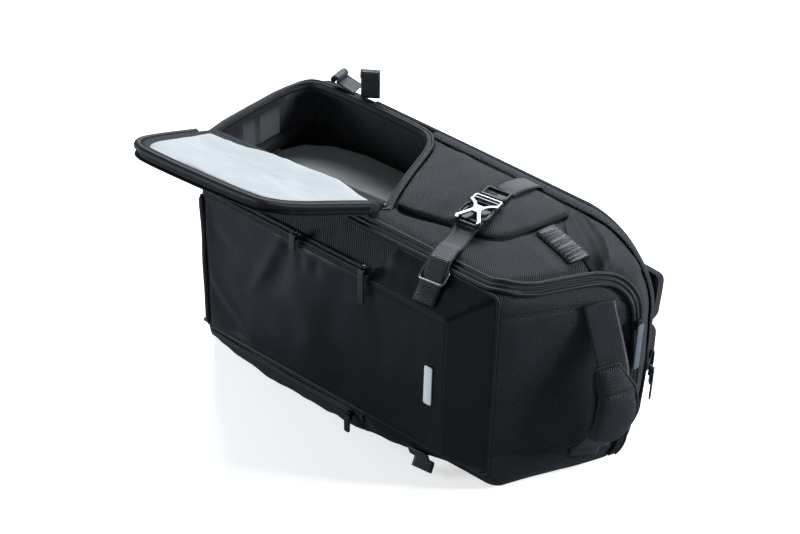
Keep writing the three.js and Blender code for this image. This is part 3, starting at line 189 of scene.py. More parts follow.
def place_on_cloth(tree):
    """Two coordinates in millimetres along the face that a point lies on, from its place and its normal."""
    place = tree.nodes.new("ShaderNodeTexCoord").outputs["Object"]
    normal = tree.nodes.new("ShaderNodeNewGeometry").outputs["Normal"]
    point = tree.nodes.new("ShaderNodeSeparateXYZ")
    facing = tree.nodes.new("ShaderNodeSeparateXYZ")
    tree.links.new(place, point.inputs[0])
    tree.links.new(normal, facing.inputs[0])
    size = [math_node(tree, "ABSOLUTE", facing.outputs[i]) for i in range(3)]
    flat = math_node(tree, "GREATER_THAN", size[2], math_node(tree, "MAXIMUM", size[0], size[1]))
    endways = math_node(tree, "MULTIPLY", math_node(tree, "GREATER_THAN", size[0], size[1]),
                        math_node(tree, "SUBTRACT", 1.0, flat))
    x, y, z = (math_node(tree, "MULTIPLY", point.outputs[i], 1000.0) for i in range(3))
    # u is y on the end faces and x elsewhere; v is y on the faces that lie flat and z elsewhere
    keep = math_node(tree, "SUBTRACT", 1.0, endways)
    u = math_node(tree, "ADD", math_node(tree, "MULTIPLY", y, endways), math_node(tree, "MULTIPLY", x, keep))
    rest = math_node(tree, "SUBTRACT", 1.0, flat)
    v = math_node(tree, "ADD", math_node(tree, "MULTIPLY", y, flat), math_node(tree, "MULTIPLY", z, rest))
    return u, v


def wave_of(tree, distance, period):
    """A sine of a distance, between 0 and 1."""
    turns = math_node(tree, "DIVIDE", distance, period)
    wave = math_node(tree, "SINE", math_node(tree, "MULTIPLY", turns, 2 * math.pi))
    return math_node(tree, "ADD", math_node(tree, "MULTIPLY", wave, 0.5), 0.5)


# %% Groups for twill, ribs and tone
def twill_group():
    group, given, out = new_group("twill_weave", [
        ("Period", "in", "NodeSocketFloat", 2.2), ("Across", "in", "NodeSocketFloat", 1.0),
        ("Height", "out", "NodeSocketFloat", None)])
    u, v = place_on_cloth(group)
    slant = math_node(group, "ADD", math_node(group, "MULTIPLY", u, given.outputs["Across"]), v)
    ridge = wave_of(group, slant, given.outputs["Period"])
    thread = wave_of(group, math_node(group, "SUBTRACT", u, v), 0.9)
    group.links.new(math_node(group, "ADD", math_node(group, "MULTIPLY", ridge, 0.8),
                              math_node(group, "MULTIPLY", thread, 0.2)), out.inputs["Height"])
    return group


def tone_group():
    group, given, out = new_group("slow_tone", [
        ("Scale", "in", "NodeSocketFloat", 30.0), ("Tone", "out", "NodeSocketFloat", None)])
    place = group.nodes.new("ShaderNodeTexCoord").outputs["Object"]
    cloud = group.nodes.new("ShaderNodeTexNoise")
    cloud.inputs["Detail"].default_value = 3.0
    group.links.new(place, cloud.inputs["Vector"])
    group.links.new(given.outputs["Scale"], cloud.inputs["Scale"])
    group.links.new(cloud.outputs["Fac"], out.inputs["Tone"])
    return group


def strand_group():
    """Ribs that follow a strip: it reads the distances along and across that each strip stores."""
    group, given, out = new_group("strip_ribs", [
        ("Along", "in", "NodeSocketFloat", 1.6), ("Across", "in", "NodeSocketFloat", 3.0),
        ("Height", "out", "NodeSocketFloat", None), ("Edge", "out", "NodeSocketFloat", None)])
    stored = group.nodes.new("ShaderNodeAttribute")
    stored.attribute_name = "strip"
    apart = group.nodes.new("ShaderNodeSeparateXYZ")
    group.links.new(stored.outputs["Vector"], apart.inputs[0])
    along = wave_of(group, apart.outputs[1], given.outputs["Along"])
    across = wave_of(group, apart.outputs[0], given.outputs["Across"])
    group.links.new(math_node(group, "MULTIPLY", along,
                              math_node(group, "ADD", math_node(group, "MULTIPLY", across, 0.4), 0.6)),
                              out.inputs["Height"])
    group.links.new(apart.outputs[2], out.inputs["Edge"])
    return group


TWILL, TONE, RIBS = twill_group(), tone_group(), strand_group()
print("groups:", [g.name for g in bpy.data.node_groups])


# %% [markdown]
# A cloth's colour is a mix of a dark and a slightly lighter tone. The weave drives both a little of that mix
# and the bump, and sheen gives the pale edge that cloth shows at a glancing angle.

# %% One maker for all cloth finishes
def cloth(name, dark, pale, roughness, sheen, weave=None, period=2.2, depth=0.12, ribs=None, tone=40.0,
          specular=0.35,
          fine=0.0):
    """A cloth material. weave is "twill" or None; ribs is (along, across) in millimetres for strips."""
    made = bpy.data.materials.new(name)
    made.use_nodes = True
    tree = made.node_tree
    shader = tree.nodes["Principled BSDF"]
    shader.inputs["Sheen Weight"].default_value = sheen
    shader.inputs["Sheen Roughness"].default_value = 0.5
    shader.inputs["Specular IOR Level"].default_value = specular
    slow = tree.nodes.new("ShaderNodeGroup")
    slow.node_tree = TONE
    slow.inputs["Scale"].default_value = tone
    mix = tree.nodes.new("ShaderNodeMix")
    mix.data_type = "RGBA"
    mix.inputs[6].default_value = (*dark, 1)
    mix.inputs[7].default_value = (*pale, 1)
    rough = tree.nodes.new("ShaderNodeMapRange")
    rough.inputs["To Min"].default_value = roughness - 0.06
    rough.inputs["To Max"].default_value = roughness + 0.06
    tree.links.new(slow.outputs["Tone"], rough.inputs["Value"])
    tree.links.new(rough.outputs["Result"], shader.inputs["Roughness"])
    factor = slow.outputs["Tone"]
    bump = tree.nodes.new("ShaderNodeBump")
    bump.inputs["Distance"].default_value = 0.001
    bump.inputs["Strength"].default_value = depth
    height = None
    if weave == "twill" or ribs:
        pattern = tree.nodes.new("ShaderNodeGroup")
        if ribs:
            pattern.node_tree = RIBS
            pattern.inputs["Along"].default_value, pattern.inputs["Across"].default_value = ribs
        else:
            pattern.node_tree = TWILL
            pattern.inputs["Period"].default_value = period
        height = pattern.outputs["Height"]
        factor = math_node(tree, "MULTIPLY", math_node(tree, "ADD", slow.outputs["Tone"], height), 0.5)
    if fine:
        grain = tree.nodes.new("ShaderNodeTexNoise")
        grain.inputs["Scale"].default_value = fine
        grain.inputs["Detail"].default_value = 2.0
        place = tree.nodes.new("ShaderNodeTexCoord").outputs["Object"]
        tree.links.new(place, grain.inputs["Vector"])
        height = grain.outputs["Fac"] if height is None else math_node(tree, "ADD", height,
            math_node(tree, "MULTIPLY", grain.outputs["Fac"], 0.5))
    if height is not None:
        tree.links.new(height, bump.inputs["Height"])
        tree.links.new(bump.outputs["Normal"], shader.inputs["Normal"])
    tree.links.new(factor, mix.inputs[0])
    tree.links.new(mix.outputs[2], shader.inputs["Base Color"])
    return made


TWILL_CLOTH = cloth("twill_cloth", (0.0035, 0.0045, 0.006), (0.018, 0.0215, 0.0265), 0.55, 0.03, weave="twill",
                    period=2.7, depth=0.6,
                    specular=0.3)
RIB_CLOTH = cloth("ribbed_cloth", (0.004, 0.005, 0.0065), (0.020, 0.0235, 0.029), 0.55, 0.04, weave="twill",
                  period=2.5, depth=0.6,
                  specular=0.32)
COATED_CLOTH = cloth("coated_cloth", (0.002, 0.0027, 0.0038), (0.004, 0.0053, 0.0072), 0.38, 0.0, depth=0.06,
                     tone=12, specular=0.36,
                     fine=900)
PALE_LINING = cloth("pale_lining", (0.41, 0.42, 0.425), (0.49, 0.50, 0.505), 0.85, 0.0, depth=0.3, tone=18,
                    fine=700, specular=0.1)
DARK_LINING = cloth("dark_lining", (0.022, 0.023, 0.025), (0.042, 0.044, 0.047), 0.7, 0.05, depth=0.2, tone=22,
                    fine=600, specular=0.2)
TAPE_CLOTH = cloth("zip_tape_cloth", (0.0028, 0.0033, 0.0042), (0.007, 0.008, 0.010), 0.48, 0.02, ribs=(1.4, 40.0),
                   depth=0.35)
WEBBING_CLOTH = cloth("webbing_cloth", (0.006, 0.007, 0.009), (0.022, 0.025, 0.030), 0.42, 0.05, ribs=(1.7, 3.2),
                      depth=0.5, specular=0.5)
MESH_CLOTH = cloth("air_mesh_cloth", (0.004, 0.0045, 0.0055), (0.014, 0.0155, 0.018), 0.7, 0.03, weave="twill",
                   period=3.4, depth=0.9)
STRETCH_CLOTH = cloth("stretch_cloth", (0.0025, 0.0033, 0.0045), (0.007, 0.0088, 0.0115), 0.62, 0.02, depth=0.2,
                      fine=1200, specular=0.16)


def plain_finish(name, dark, pale, roughness, metallic=0.0, specular=0.5, scale=300.0, coat=0.0):
    """Moulded plastic or metal: a colour that varies a little, with a fine uneven gloss."""
    made = cloth(name, dark, pale, roughness, 0.0, depth=0.04, tone=scale, specular=specular, fine=2500)
    shader = made.node_tree.nodes["Principled BSDF"]
    shader.inputs["Metallic"].default_value = metallic
    shader.inputs["Coat Weight"].default_value = coat
    return made


BLACK_PLASTIC = plain_finish("black_plastic_finish", (0.004, 0.004, 0.005), (0.008, 0.008, 0.010), 0.42,
                             specular=0.28)
SILVER_METAL = plain_finish("silver_finish", (0.20, 0.21, 0.23), (0.30, 0.31, 0.33), 0.36, metallic=1.0)
SLIDER_METAL = plain_finish("black_metal_finish", (0.015, 0.015, 0.017), (0.03, 0.03, 0.033), 0.28, metallic=0.7)
PULL_RUBBER = plain_finish("pull_rubber_finish", (0.010, 0.011, 0.013), (0.020, 0.022, 0.025), 0.4)
PALE_RUBBER = plain_finish("pale_pull_finish", (0.10, 0.12, 0.14), (0.15, 0.17, 0.20), 0.45)
PLATE_METAL = plain_finish("name_plate_finish", (0.90, 0.91, 0.92), (0.95, 0.96, 0.97), 0.4)
THREAD = plain_finish("thread_finish", (0.030, 0.033, 0.038), (0.060, 0.064, 0.072), 0.6)
print("materials:", len(bpy.data.materials))

# %% [markdown]
# ## The body's shape
# The body is a loft: eight cross sections from front to back, each with its own length, heights and corner
# radii. The same table shaped the solids. Here it is read much finer, so that seams and folds have points to
# move.

# %% Sections of the body
LENGTH, WIDTH, BODY_DEPTH, POCKET_DEPTH = 502.0, 290.0, 186.0, 33.0
MID = WIDTH / 2
SIDE_CROWN, END_CROWN = 4.0, 5.0
COLUMNS = ("depth", "base", "end", "up_base", "up_end", "low", "r_up", "r_end", "r_low")
SECTIONS = np.array([
    (0.000, 0.006, 0.825, 0.869, 0.835, 0.90, 0.10, 0.15, 0.10),
    (0.065, 0.000, 0.845, 0.945, 0.875, 1.00, 0.11, 0.18, 0.12),
    (0.215, 0.000, 0.887, 0.966, 0.890, 1.00, 0.11, 0.24, 0.20),
    (0.430, 0.000, 0.942, 0.972, 0.910, 1.00, 0.12, 0.32, 0.26),
    (0.645, 0.000, 0.993, 0.972, 0.917, 1.00, 0.13, 0.42, 0.32),
    (0.740, 0.002, 0.996, 0.968, 0.915, 1.00, 0.14, 0.48, 0.36),
    (0.887, 0.006, 0.978, 0.955, 0.900, 1.00, 0.16, 0.60, 0.44),
    (1.000, 0.018, 0.944, 0.925, 0.865, 0.96, 0.18, 0.66, 0.52),
])
FINE_DEPTH = np.linspace(0, 1, 401)


def smoothed(values, reach=12):
    """A running mean whose window shrinks near the ends, so that the end values stay."""
    total = np.concatenate([[0], np.cumsum(values)])
    spans = [min(i, len(values) - 1 - i, reach) for i in range(len(values))]
    return np.array([(total[i + s + 1] - total[i - s]) / (2 * s + 1) for i, s in enumerate(spans)])


FINE = {c: smoothed(np.interp(FINE_DEPTH, SECTIONS[:, 0], SECTIONS[:, i])) for i, c in enumerate(COLUMNS)}


def section(depth):
    """The section's sizes in millimetres at one or many depths."""
    row = {c: np.interp(depth, FINE_DEPTH, FINE[c]) for c in COLUMNS[1:]}
    return (row["base"] * LENGTH, row["end"] * LENGTH, MID + MID * row["up_base"], MID + MID * row["up_end"],
            MID - MID * row["low"], MID * row["r_up"], MID * row["r_end"], MID * row["r_low"])


def skin(place, depth, grow=0.0):
    """Points of the body's skin. place 0 to 1 is the upper side, 2 to 3 the end, 4 to 5 the lower side and 6 to 7
    the base, with the corners between them; depth runs from the front, 0, to the back, 1."""
    place, depth = np.broadcast_arrays(np.asarray(place, float) % 8, np.asarray(depth, float))
    left, end, high_left, high_end, low, r_up, r_end, r_low = section(depth)
    left, end, low = left - grow, end + grow, low - grow
    high_left, high_end = high_left + grow, high_end + grow
    r_up, r_end, r_low = r_up + grow, r_end + grow, r_low + grow
    t = place % 1
    bulge = np.sin(np.pi * t) * np.sin(np.pi * depth)

    def straight(x0, z0, x1, z1):
        return x0 + (x1 - x0) * t, z0 + (z1 - z0) * t

    def arc(x, z, r, start):
        angle = np.radians(start - 90 * t)
        return x + r * np.cos(angle), z + r * np.sin(angle)

    upper = straight(left + r_up, high_left, end - r_end, high_end)
    parts = [
        (upper[0], upper[1] + SIDE_CROWN * bulge),
        arc(end - r_end, high_end - r_end, r_end, 90),
        (end + END_CROWN * bulge, straight(end, high_end - r_end, end, low + r_low)[1]),
        arc(end - r_low, low + r_low, r_low, 0),
        straight(end - r_low, low, left + r_up, low),
        arc(left + r_up, low + r_up, r_up, -90),
        straight(left, low + r_up, left, high_left - r_up),
        arc(left + r_up, high_left - r_up, r_up, 180),
    ]
    kind = place.astype(int)
    x = np.select([kind == i for i in range(8)], [p[0] for p in parts])
    z = np.select([kind == i for i in range(8)], [p[1] for p in parts])
    y = depth * BODY_DEPTH + (2 * depth - 1) * grow
    return np.stack([x, y, z], axis=-1)


def skin_normal(place, depth):
    """The outward direction of the skin."""
    step = 0.01
    depth = np.clip(np.asarray(depth, float), step, 1 - step)
    round_ = skin(np.asarray(place) + step, depth) - skin(np.asarray(place) - step, depth)
    back = skin(place, depth + step) - skin(place, depth - step)
    out = np.cross(round_, back)
    return out / np.linalg.norm(out, axis=-1, keepdims=True)


def upper_height(x, y):
    """The height of the side that faces up, over points of the plan."""
    depth = np.clip(np.asarray(y, float) / BODY_DEPTH, 0, 1)
    x = np.asarray(x, float)
    left, end, high_left, high_end, low, r_up, r_end, r_low = section(depth)
    t = np.clip((x - left - r_up) / (end - r_end - left - r_up), 0, 1)
    top = high_left + (high_end - high_left) * t + SIDE_CROWN * np.sin(np.pi * t) * np.sin(np.pi * depth)
    over_left = np.clip(left + r_up - x, 0, r_up)
    over_end = np.clip(x - end + r_end, 0, r_end)
    top = top - (r_up - np.sqrt(np.maximum(r_up ** 2 - over_left ** 2, 0)))
    return top - (r_end - np.sqrt(np.maximum(r_end ** 2 - over_end ** 2, 0)))


def end_reach(y, z):
    """How far out the top end reaches at a depth and a height."""
    depth = np.clip(np.asarray(y, float) / BODY_DEPTH, 0, 1)
    z = np.asarray(z, float)
    left, end, high_left, high_end, low, r_up, r_end, r_low = section(depth)
    t = np.clip((high_end - r_end - z) / (high_end - r_end - low - r_low), 0, 1)
    over = np.clip(z - high_end + r_end, 0, r_end)
    under = np.clip(low + r_low - z, 0, r_low)
    out = end + END_CROWN * np.sin(np.pi * t) * np.sin(np.pi * depth)
    out = out - (r_end - np.sqrt(np.maximum(r_end ** 2 - over ** 2, 0)))
    return out - (r_low - np.sqrt(np.maximum(r_low ** 2 - under ** 2, 0)))


print("skin:", skin([0.0, 2.5], [0.5, 0.5]).round(1).tolist())


# %% [markdown]
# ## Building blocks
# Most pieces are grids of points: a sheet, a tube or a strip. One helper turns a grid into a mesh and keeps, for
# each point of a strip, how far along and across it lies, so that ribs and zip teeth can follow it.

# %% From points to a piece
def new_piece(name, points, faces, finish, slot, strip=None, smooth=True, nodes=()):
    """A mesh from points in millimetres. It rides on the pack and stands for the CAD nodes named."""
    mesh = bpy.data.meshes.new(name)
    mesh.from_pydata(metres(points).tolist(), [], [tuple(int(i) for i in f) for f in faces])
    mesh.validate()
    if strip is not None and len(mesh.vertices) == len(strip):
        stored = mesh.attributes.new("strip", "FLOAT_VECTOR", "POINT")
        stored.data.foreach_set("vector", np.asarray(strip, np.float32).ravel())
    for f in (finish if isinstance(finish, (list, tuple)) else [finish]):
        mesh.materials.append(f)
    mesh.polygons.foreach_set("use_smooth", [smooth] * len(mesh.polygons))
    made = bpy.data.objects.new(name, mesh)
    bpy.context.scene.collection.objects.link(made)
    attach(made, "root")
    if nodes:
        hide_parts(*nodes)
    return made


def grid_faces(rows, columns, close_rows=False, close_columns=False, start=0):
    """Quads of a grid of points that is stored row after row."""
    r = np.arange(rows if close_rows else rows - 1)
    c = np.arange(columns if close_columns else columns - 1)
    r, c = (a.ravel() for a in np.meshgrid(r, c, indexing="ij"))
    r1, c1 = (r + 1) % rows, (c + 1) % columns
    quads = np.stack([r * columns + c, r * columns + c1, r1 * columns + c1, r1 * columns + c], axis=1)
    return (quads + start).tolist()


def resampled(path, count, closed=False):
    """Points at even distances along a path."""
    path = np.asarray(path, float)
    if closed:
        path = np.vstack([path, path[:1]])
    far = np.concatenate([[0], np.cumsum(np.linalg.norm(np.diff(path, axis=0), axis=1))])
    at = np.linspace(0, far[-1], count + 1 if closed else count)
    out = np.stack([np.interp(at, far, path[:, i]) for i in range(path.shape[1])], axis=1)
    return out[:-1] if closed else out


def spline(points, count):
    """A smooth curve (Catmull-Rom) through a few points, at even distances."""
    p = np.asarray(points, float)
    p = np.vstack([2 * p[0] - p[1], p, 2 * p[-1] - p[-2]])
    out = []
    for i in range(1, len(p) - 2):
        for t in np.linspace(0, 1, 24, endpoint=False):
            a, b, c, d = p[i - 1:i + 3]
            out.append(0.5 * (2 * b + (c - a) * t + (2 * a - 5 * b + 4 * c - d) * t ** 2 + (3 * b - a - 3 * c + d) *
                              t ** 3))
    out.append(p[-2])
    return resampled(out, count)


def directions(path, closed=False):
    """Unit steps along a path."""
    path = np.asarray(path, float)
    if closed:
        step = np.roll(path, -1, axis=0) - np.roll(path, 1, axis=0)
    else:
        step = np.gradient(path, axis=0)
    return step / np.maximum(np.linalg.norm(step, axis=1, keepdims=True), 1e-9)


def sweep(name, path, out, profile, finish, slot, closed=False, nodes=(), shape=None, ends=True):
    """A profile of (across, up) points carried along a path whose outward directions are given. shape may
    change the profile at each station: shape(i, distance, profile)."""
    path, out = np.asarray(path, float), np.asarray(out, float)
    along = directions(path, closed)
    out = out - (out * along).sum(1, keepdims=True) * along
    out = out / np.linalg.norm(out, axis=1, keepdims=True)
    side = np.cross(along, out)
    far = np.concatenate([[0], np.cumsum(np.linalg.norm(np.diff(path, axis=0), axis=1))])
    profile = np.asarray(profile, float)
    count = len(profile)
    points, strip = [], []
    width = profile[:, 0].max() - profile[:, 0].min()
    for i in range(len(path)):
        p = profile if shape is None else np.asarray(shape(i, far[i], profile))
        points.append(path[i] + p[:, :1] * side[i] + p[:, 1:2] * out[i])
        strip.append(np.stack([profile[:, 0], np.full(count, far[i]), np.abs(profile[:, 0]) / max(width, 1e-6) * 2],
                              axis=1))
    faces = grid_faces(len(path), count, close_rows=closed, close_columns=True)
    if not closed and ends:
        last = (len(path) - 1) * count
        faces.append(list(range(count))[::-1])
        faces.append([last + i for i in range(count)])
    made = new_piece(name, np.vstack(points), faces, finish, slot, strip=np.vstack(strip), nodes=nodes)
    return made


def circle_profile(radius, sides=10, across=0.0, up_by=0.0, squash=1.0):
    angle = np.linspace(0, 2 * np.pi, sides, endpoint=False)
    return np.stack([across + radius * np.cos(angle), up_by + radius * squash * np.sin(angle)], axis=1)


def strap_profile(width, thickness, steps=8, belly=0.0):
    """A flat strap's cross section with round edges; belly lifts its middle."""
    a = np.linspace(-1, 1, steps)
    top = [(width / 2 * v, thickness / 2 * (1 - 0.35 * abs(v) ** 6) + belly * (1 - v * v)) for v in a]
    bottom = [(width / 2 * v, -thickness / 2 * (1 - 0.35 * abs(v) ** 6) + belly * (1 - v * v)) for v in a[::-1]]
    return np.array(top + bottom)


def ripples(points, wavelength, seed, count=9):
    """Smooth unevenness between about -1 and 1, the same on each run."""
    rng = np.random.default_rng(seed)
    total = np.zeros(len(points))
    for _ in range(count):
        way = rng.normal(size=3)
        way *= 2 * np.pi / (wavelength * rng.uniform(0.7, 1.5) * np.linalg.norm(way))
        total += np.cos(points @ way + rng.uniform(0, 2 * np.pi))
    return total / math.sqrt(count)


def distance_to(points, path):
    """The distance from each point to the nearest of a path's points."""
    points, path = np.asarray(points, float), np.asarray(path, float)
    best = np.full(len(points), np.inf)
    for start in range(0, len(path), 64):
        part = path[start:start + 64]
        gap = ((points[:, None, :] - part[None]) ** 2).sum(-1).min(1)
        best = np.minimum(best, gap)
    return np.sqrt(best)


def smoothstep(low, high, value):
    t = np.clip((value - low) / (high - low), 0, 1)
    return t * t * (3 - 2 * t)


print("helpers ready")

# %% [markdown]
# ## The opening, the side panel and the main zip
# These lines lie on the side that faces up. They are needed before the body, because the cloth between two
# seams bulges and each seam pulls it in.

# %% Outlines on the plan, in millimetres
MOUTH_X, MOUTH_LENGTH, HINGE_Y, MOUTH_DEPTH = 7.0, 236.0, 20.0, 149.0
MOUTH = np.array([(0, -0.05), (0, 0.27), (0.002, 0.6), (0.021, 0.82), (0.085, 0.946), (0.195, 0.987), (0.45, 1),
                  (0.712, 0.985), (0.805, 0.906), (0.869, 0.738), (0.932, 0.403), (0.966, 0.22), (1, 0.06)])
mouth_line = spline(np.stack([MOUTH_X + MOUTH[:, 0] * MOUTH_LENGTH, HINGE_Y + MOUTH[:, 1] * MOUTH_DEPTH], 1), 220)
PANEL = np.array([(0.42, 0.82), (0.49, 0.2), (0.52, 0.178), (0.627, 0.253), (0.695, 0.27), (0.733, 0.344),
                  (0.763, 0.505), (0.777, 0.645), (0.787, 0.82)]) * (LENGTH, BODY_DEPTH)
MAIN_BAND = np.array([(0.4, 0.025), (0.6, 0.025), (0.8, 0.028), (1, 0.03), (1.3, 0.05), (1.5, 0.12), (1.5, 0.3),
                      (1.5, 0.45), (1.52, 0.56), (1.65, 0.63), (2, 0.66), (2.5, 0.66), (3, 0.66), (3.3, 0.63)])
BACK_BAND = np.array([(1.1, 0.9), (1.4, 0.9), (1.7, 0.9), (2, 0.9), (2.5, 0.9), (3, 0.9), (3.5, 0.9)])
ELASTIC_ENDS = np.array([(392.0, 105.0), (445.0, 90.0)])
STRETCH_MIDDLE = np.array([(408.0, 146.0), (432.0, 124.0), (458.0, 104.0)])


def on_skin(table, count):
    """A smooth line over the skin from places and depths, with its outward directions."""
    rough = np.array([skin(p, d) for p, d in table])
    far = np.concatenate([[0], np.cumsum(np.linalg.norm(np.diff(rough, axis=0), axis=1))])
    fine = np.linspace(0, far[-1], 400)
    place = smoothed(np.interp(fine, far, table[:, 0]), 14)
    depth = smoothed(np.interp(fine, far, table[:, 1]), 14)
    path, out = skin(place, depth), skin_normal(place, depth)
    both = resampled(np.hstack([path, out]), count)
    line = both[:, :3]
    return line, both[:, 3:] / np.linalg.norm(both[:, 3:], axis=1, keepdims=True)


main_line, main_out = on_skin(MAIN_BAND, 700)
back_line, back_out = on_skin(BACK_BAND, 380)
print("main band length", round(float(np.linalg.norm(np.diff(main_line, axis=0), axis=1).sum())))

# %% [markdown]
# ## The body
# The outer cloth and its lining are two skins, eight millimetres apart, that close to one padded wall. The
# opening is cut through the wall with a boolean. Before that, every point of the outer skin is moved a little:
# in at the seams, out between them, and up and down in slow folds.

# %% Body cloth
def body_rings(counts, depths, grow):
    """A closed skin: rings of points from front to back, with a middle point on each end."""
    place = np.concatenate([np.linspace(i, i + 1, n, endpoint=False) for i, n in enumerate(counts)])
    grid = skin(place[None, :], np.asarray(depths)[:, None], grow)
    return place, grid


def dress_body(grid, place, depths):
    """Moves the outer skin's points: seams in, padding out, and slow folds."""
    shape = grid.shape
    out = skin_normal(place[None, :], np.asarray(depths)[:, None] * np.ones_like(place[None, :]))
    flat = grid.reshape(-1, 3)
    p = np.broadcast_to(place[None, :], shape[:2]).ravel()
    offset = 0.5 * ripples(flat, 95, 3) + 0.18 * ripples(flat, 30, 4)
    on_end = smoothstep(1.55, 1.75, p) * (1 - smoothstep(3.1, 3.4, p))
    for z, deep, wide in ((237, 1.3, 2.2), (52, 1.6, 2.4)):
        offset -= on_end * deep * np.exp(-((flat[:, 2] - z) / wide) ** 2)
    offset += on_end * 1.2 * np.exp(-((flat[:, 2] - 38) / 12) ** 2)
    on_top = (p < 1.6) | (p > 7.6)
    plan = flat[on_top][:, :2]
    to_panel = distance_to(plan, resampled(PANEL, 220))
    to_band = distance_to(flat[on_top], main_line[::4])
    share = to_panel / (to_panel + to_band + 1e-6)
    ahead = (plan[:, 0] > 225) & (plan[:, 1] < 150)
    beside_elastic = smoothstep(15, 34, distance_to(plan, resampled(ELASTIC_ENDS, 40)))
    beside_stretch = smoothstep(30, 48, distance_to(plan, STRETCH_MIDDLE))
    puff = 3.6 * np.sin(np.pi * share) ** 0.8 * beside_elastic * beside_stretch
    offset[on_top] += np.where(ahead, puff, 0) - 1.4 * np.exp(-(to_panel / 3.0) ** 2)
    offset[on_top] = np.minimum(offset[on_top], 0.4 + 6 * np.minimum(beside_elastic, beside_stretch))
    beside_band = np.minimum(distance_to(flat, main_line[::4]), 60)
    offset -= 0.9 * np.exp(-((beside_band - 9) / 2.2) ** 2)
    beside_back = np.minimum(distance_to(flat, back_line[::4]), 60)
    offset -= 0.8 * np.exp(-((beside_back - 8) / 2.5) ** 2)
    near_floor = smoothstep(0, 14, flat[:, 2])
    offset = np.where(flat[:, 2] < 20, np.minimum(offset * near_floor, 0.0) + np.maximum(offset, 0) * near_floor,
                      offset)
    return (flat + out.reshape(-1, 3) * offset[:, None]).reshape(shape)


def closed_skin(grid, inward=False):
    """Points and faces of a loft with rings drawn in to a middle point at both ends."""
    rows = [grid[0] + (grid[0].mean(0) - grid[0]) * t for t in (0.96, 0.8, 0.6, 0.4, 0.2, 0.08)]
    tail = [grid[-1] + (grid[-1].mean(0) - grid[-1]) * t for t in (0.08, 0.2, 0.4, 0.6, 0.8, 0.96)]
    full = np.concatenate([np.array(rows), grid, np.array(tail)])
    r, c = full.shape[:2]
    points = np.vstack([full.reshape(-1, 3), full[0].mean(0), full[-1].mean(0)])
    faces = grid_faces(r, c, close_columns=True)
    faces += [[r * c, (i + 1) % c, i] for i in range(c)]
    faces += [[r * c + 1, (r - 1) * c + i, (r - 1) * c + (i + 1) % c] for i in range(c)]
    if not inward:
        faces = [f[::-1] for f in faces]
    return points, faces


def make_body():
    depths = np.concatenate([np.linspace(0, 0.06, 6, endpoint=False), np.linspace(0.06, 0.94, 66, endpoint=False),
                             np.linspace(0.94, 1, 6)])
    place, grid = body_rings((130, 26, 90, 20, 44, 8, 60, 10), depths, -0.4)
    outer = closed_skin(dress_body(grid, place, depths))
    depths_in = np.linspace(0, 1, 40)
    place_in, inner_grid = body_rings((90, 10, 40, 10, 30, 6, 40, 8), depths_in, -PADDED)
    flat = inner_grid.reshape(-1, 3)
    deep = smoothstep(205, 215, flat[:, 2])
    towards = inner_grid.mean((0, 1)) - flat
    towards /= np.linalg.norm(towards, axis=1, keepdims=True)
    folds = 1.0 * ripples(flat, 34, 8) + 0.5 * ripples(flat * (1, 1, 2.5), 18, 9)
    inner = closed_skin((flat + towards * (deep * (1.2 + folds))[:, None]).reshape(inner_grid.shape), inward=True)
    points = np.vstack([outer[0], inner[0]])
    start = len(outer[0])
    faces = outer[1] + [[start + i for i in f] for f in inner[1]]
    body = new_piece("body_cloth", points, faces, [TWILL_CLOTH, DARK_LINING], "twill_fabric", nodes=["body_shell"])
    inside = np.zeros(len(body.data.polygons), np.int32)
    inside[len(outer[1]):] = 1
    body.data.polygons.foreach_set("material_index", inside)
    return body


def cut_opening(body):
    """Cuts the side opening through the wall with a prism of its outline."""
    n = len(mouth_line)
    low, high = np.full((n, 1), MID + 5), np.full((n, 1), 330.0)
    points = np.vstack([np.hstack([mouth_line, low]), np.hstack([mouth_line, high])])
    faces = [[i, (i + 1) % n, n + (i + 1) % n, n + i] for i in range(n)] + [list(range(n))[::-1],
        [n + i for i in range(n)]]
    mesh = bpy.data.meshes.new("opening_tool")
    mesh.from_pydata(metres(points).tolist(), [], faces)
    work = bmesh.new()
    work.from_mesh(mesh)
    bmesh.ops.recalc_face_normals(work, faces=work.faces)
    work.to_mesh(mesh)
    work.free()
    tool = bpy.data.objects.new("opening_tool", mesh)
    bpy.context.scene.collection.objects.link(tool)
    cut = body.modifiers.new("opening", "BOOLEAN")
    cut.operation, cut.solver, cut.object = "DIFFERENCE", "MANIFOLD", tool
    apply_modifiers(body)
    bpy.data.objects.remove(tool)


def apply_modifiers(piece):
    """Bakes a piece's modifiers into its mesh, and keeps its materials and shading."""
    graph = bpy.context.evaluated_depsgraph_get()
    graph.update()
    made = bpy.data.meshes.new_from_object(piece.evaluated_get(graph))
    piece.modifiers.clear()
    old = piece.data
    piece.data = made
    made.name = old.name
    bpy.data.meshes.remove(old)
    return piece


PADDED = 8.0
body = make_body()
before = len(body.data.polygons)
cut_opening(body)
body.data.polygons.foreach_set("use_smooth", [True] * len(body.data.polygons))
centres = (np.array([f.center for f in body.data.polygons]) - CORNER) * 1000
on_cut = (distance_to(centres[:, :2], resampled(mouth_line, 600, closed=True)) < 0.6) & (centres[:, 2] > MID)
looks = np.array([f.material_index for f in body.data.polygons])
looks[on_cut] = 1
body.data.polygons.foreach_set("material_index", looks)
print("body faces", before, "->", len(body.data.polygons))
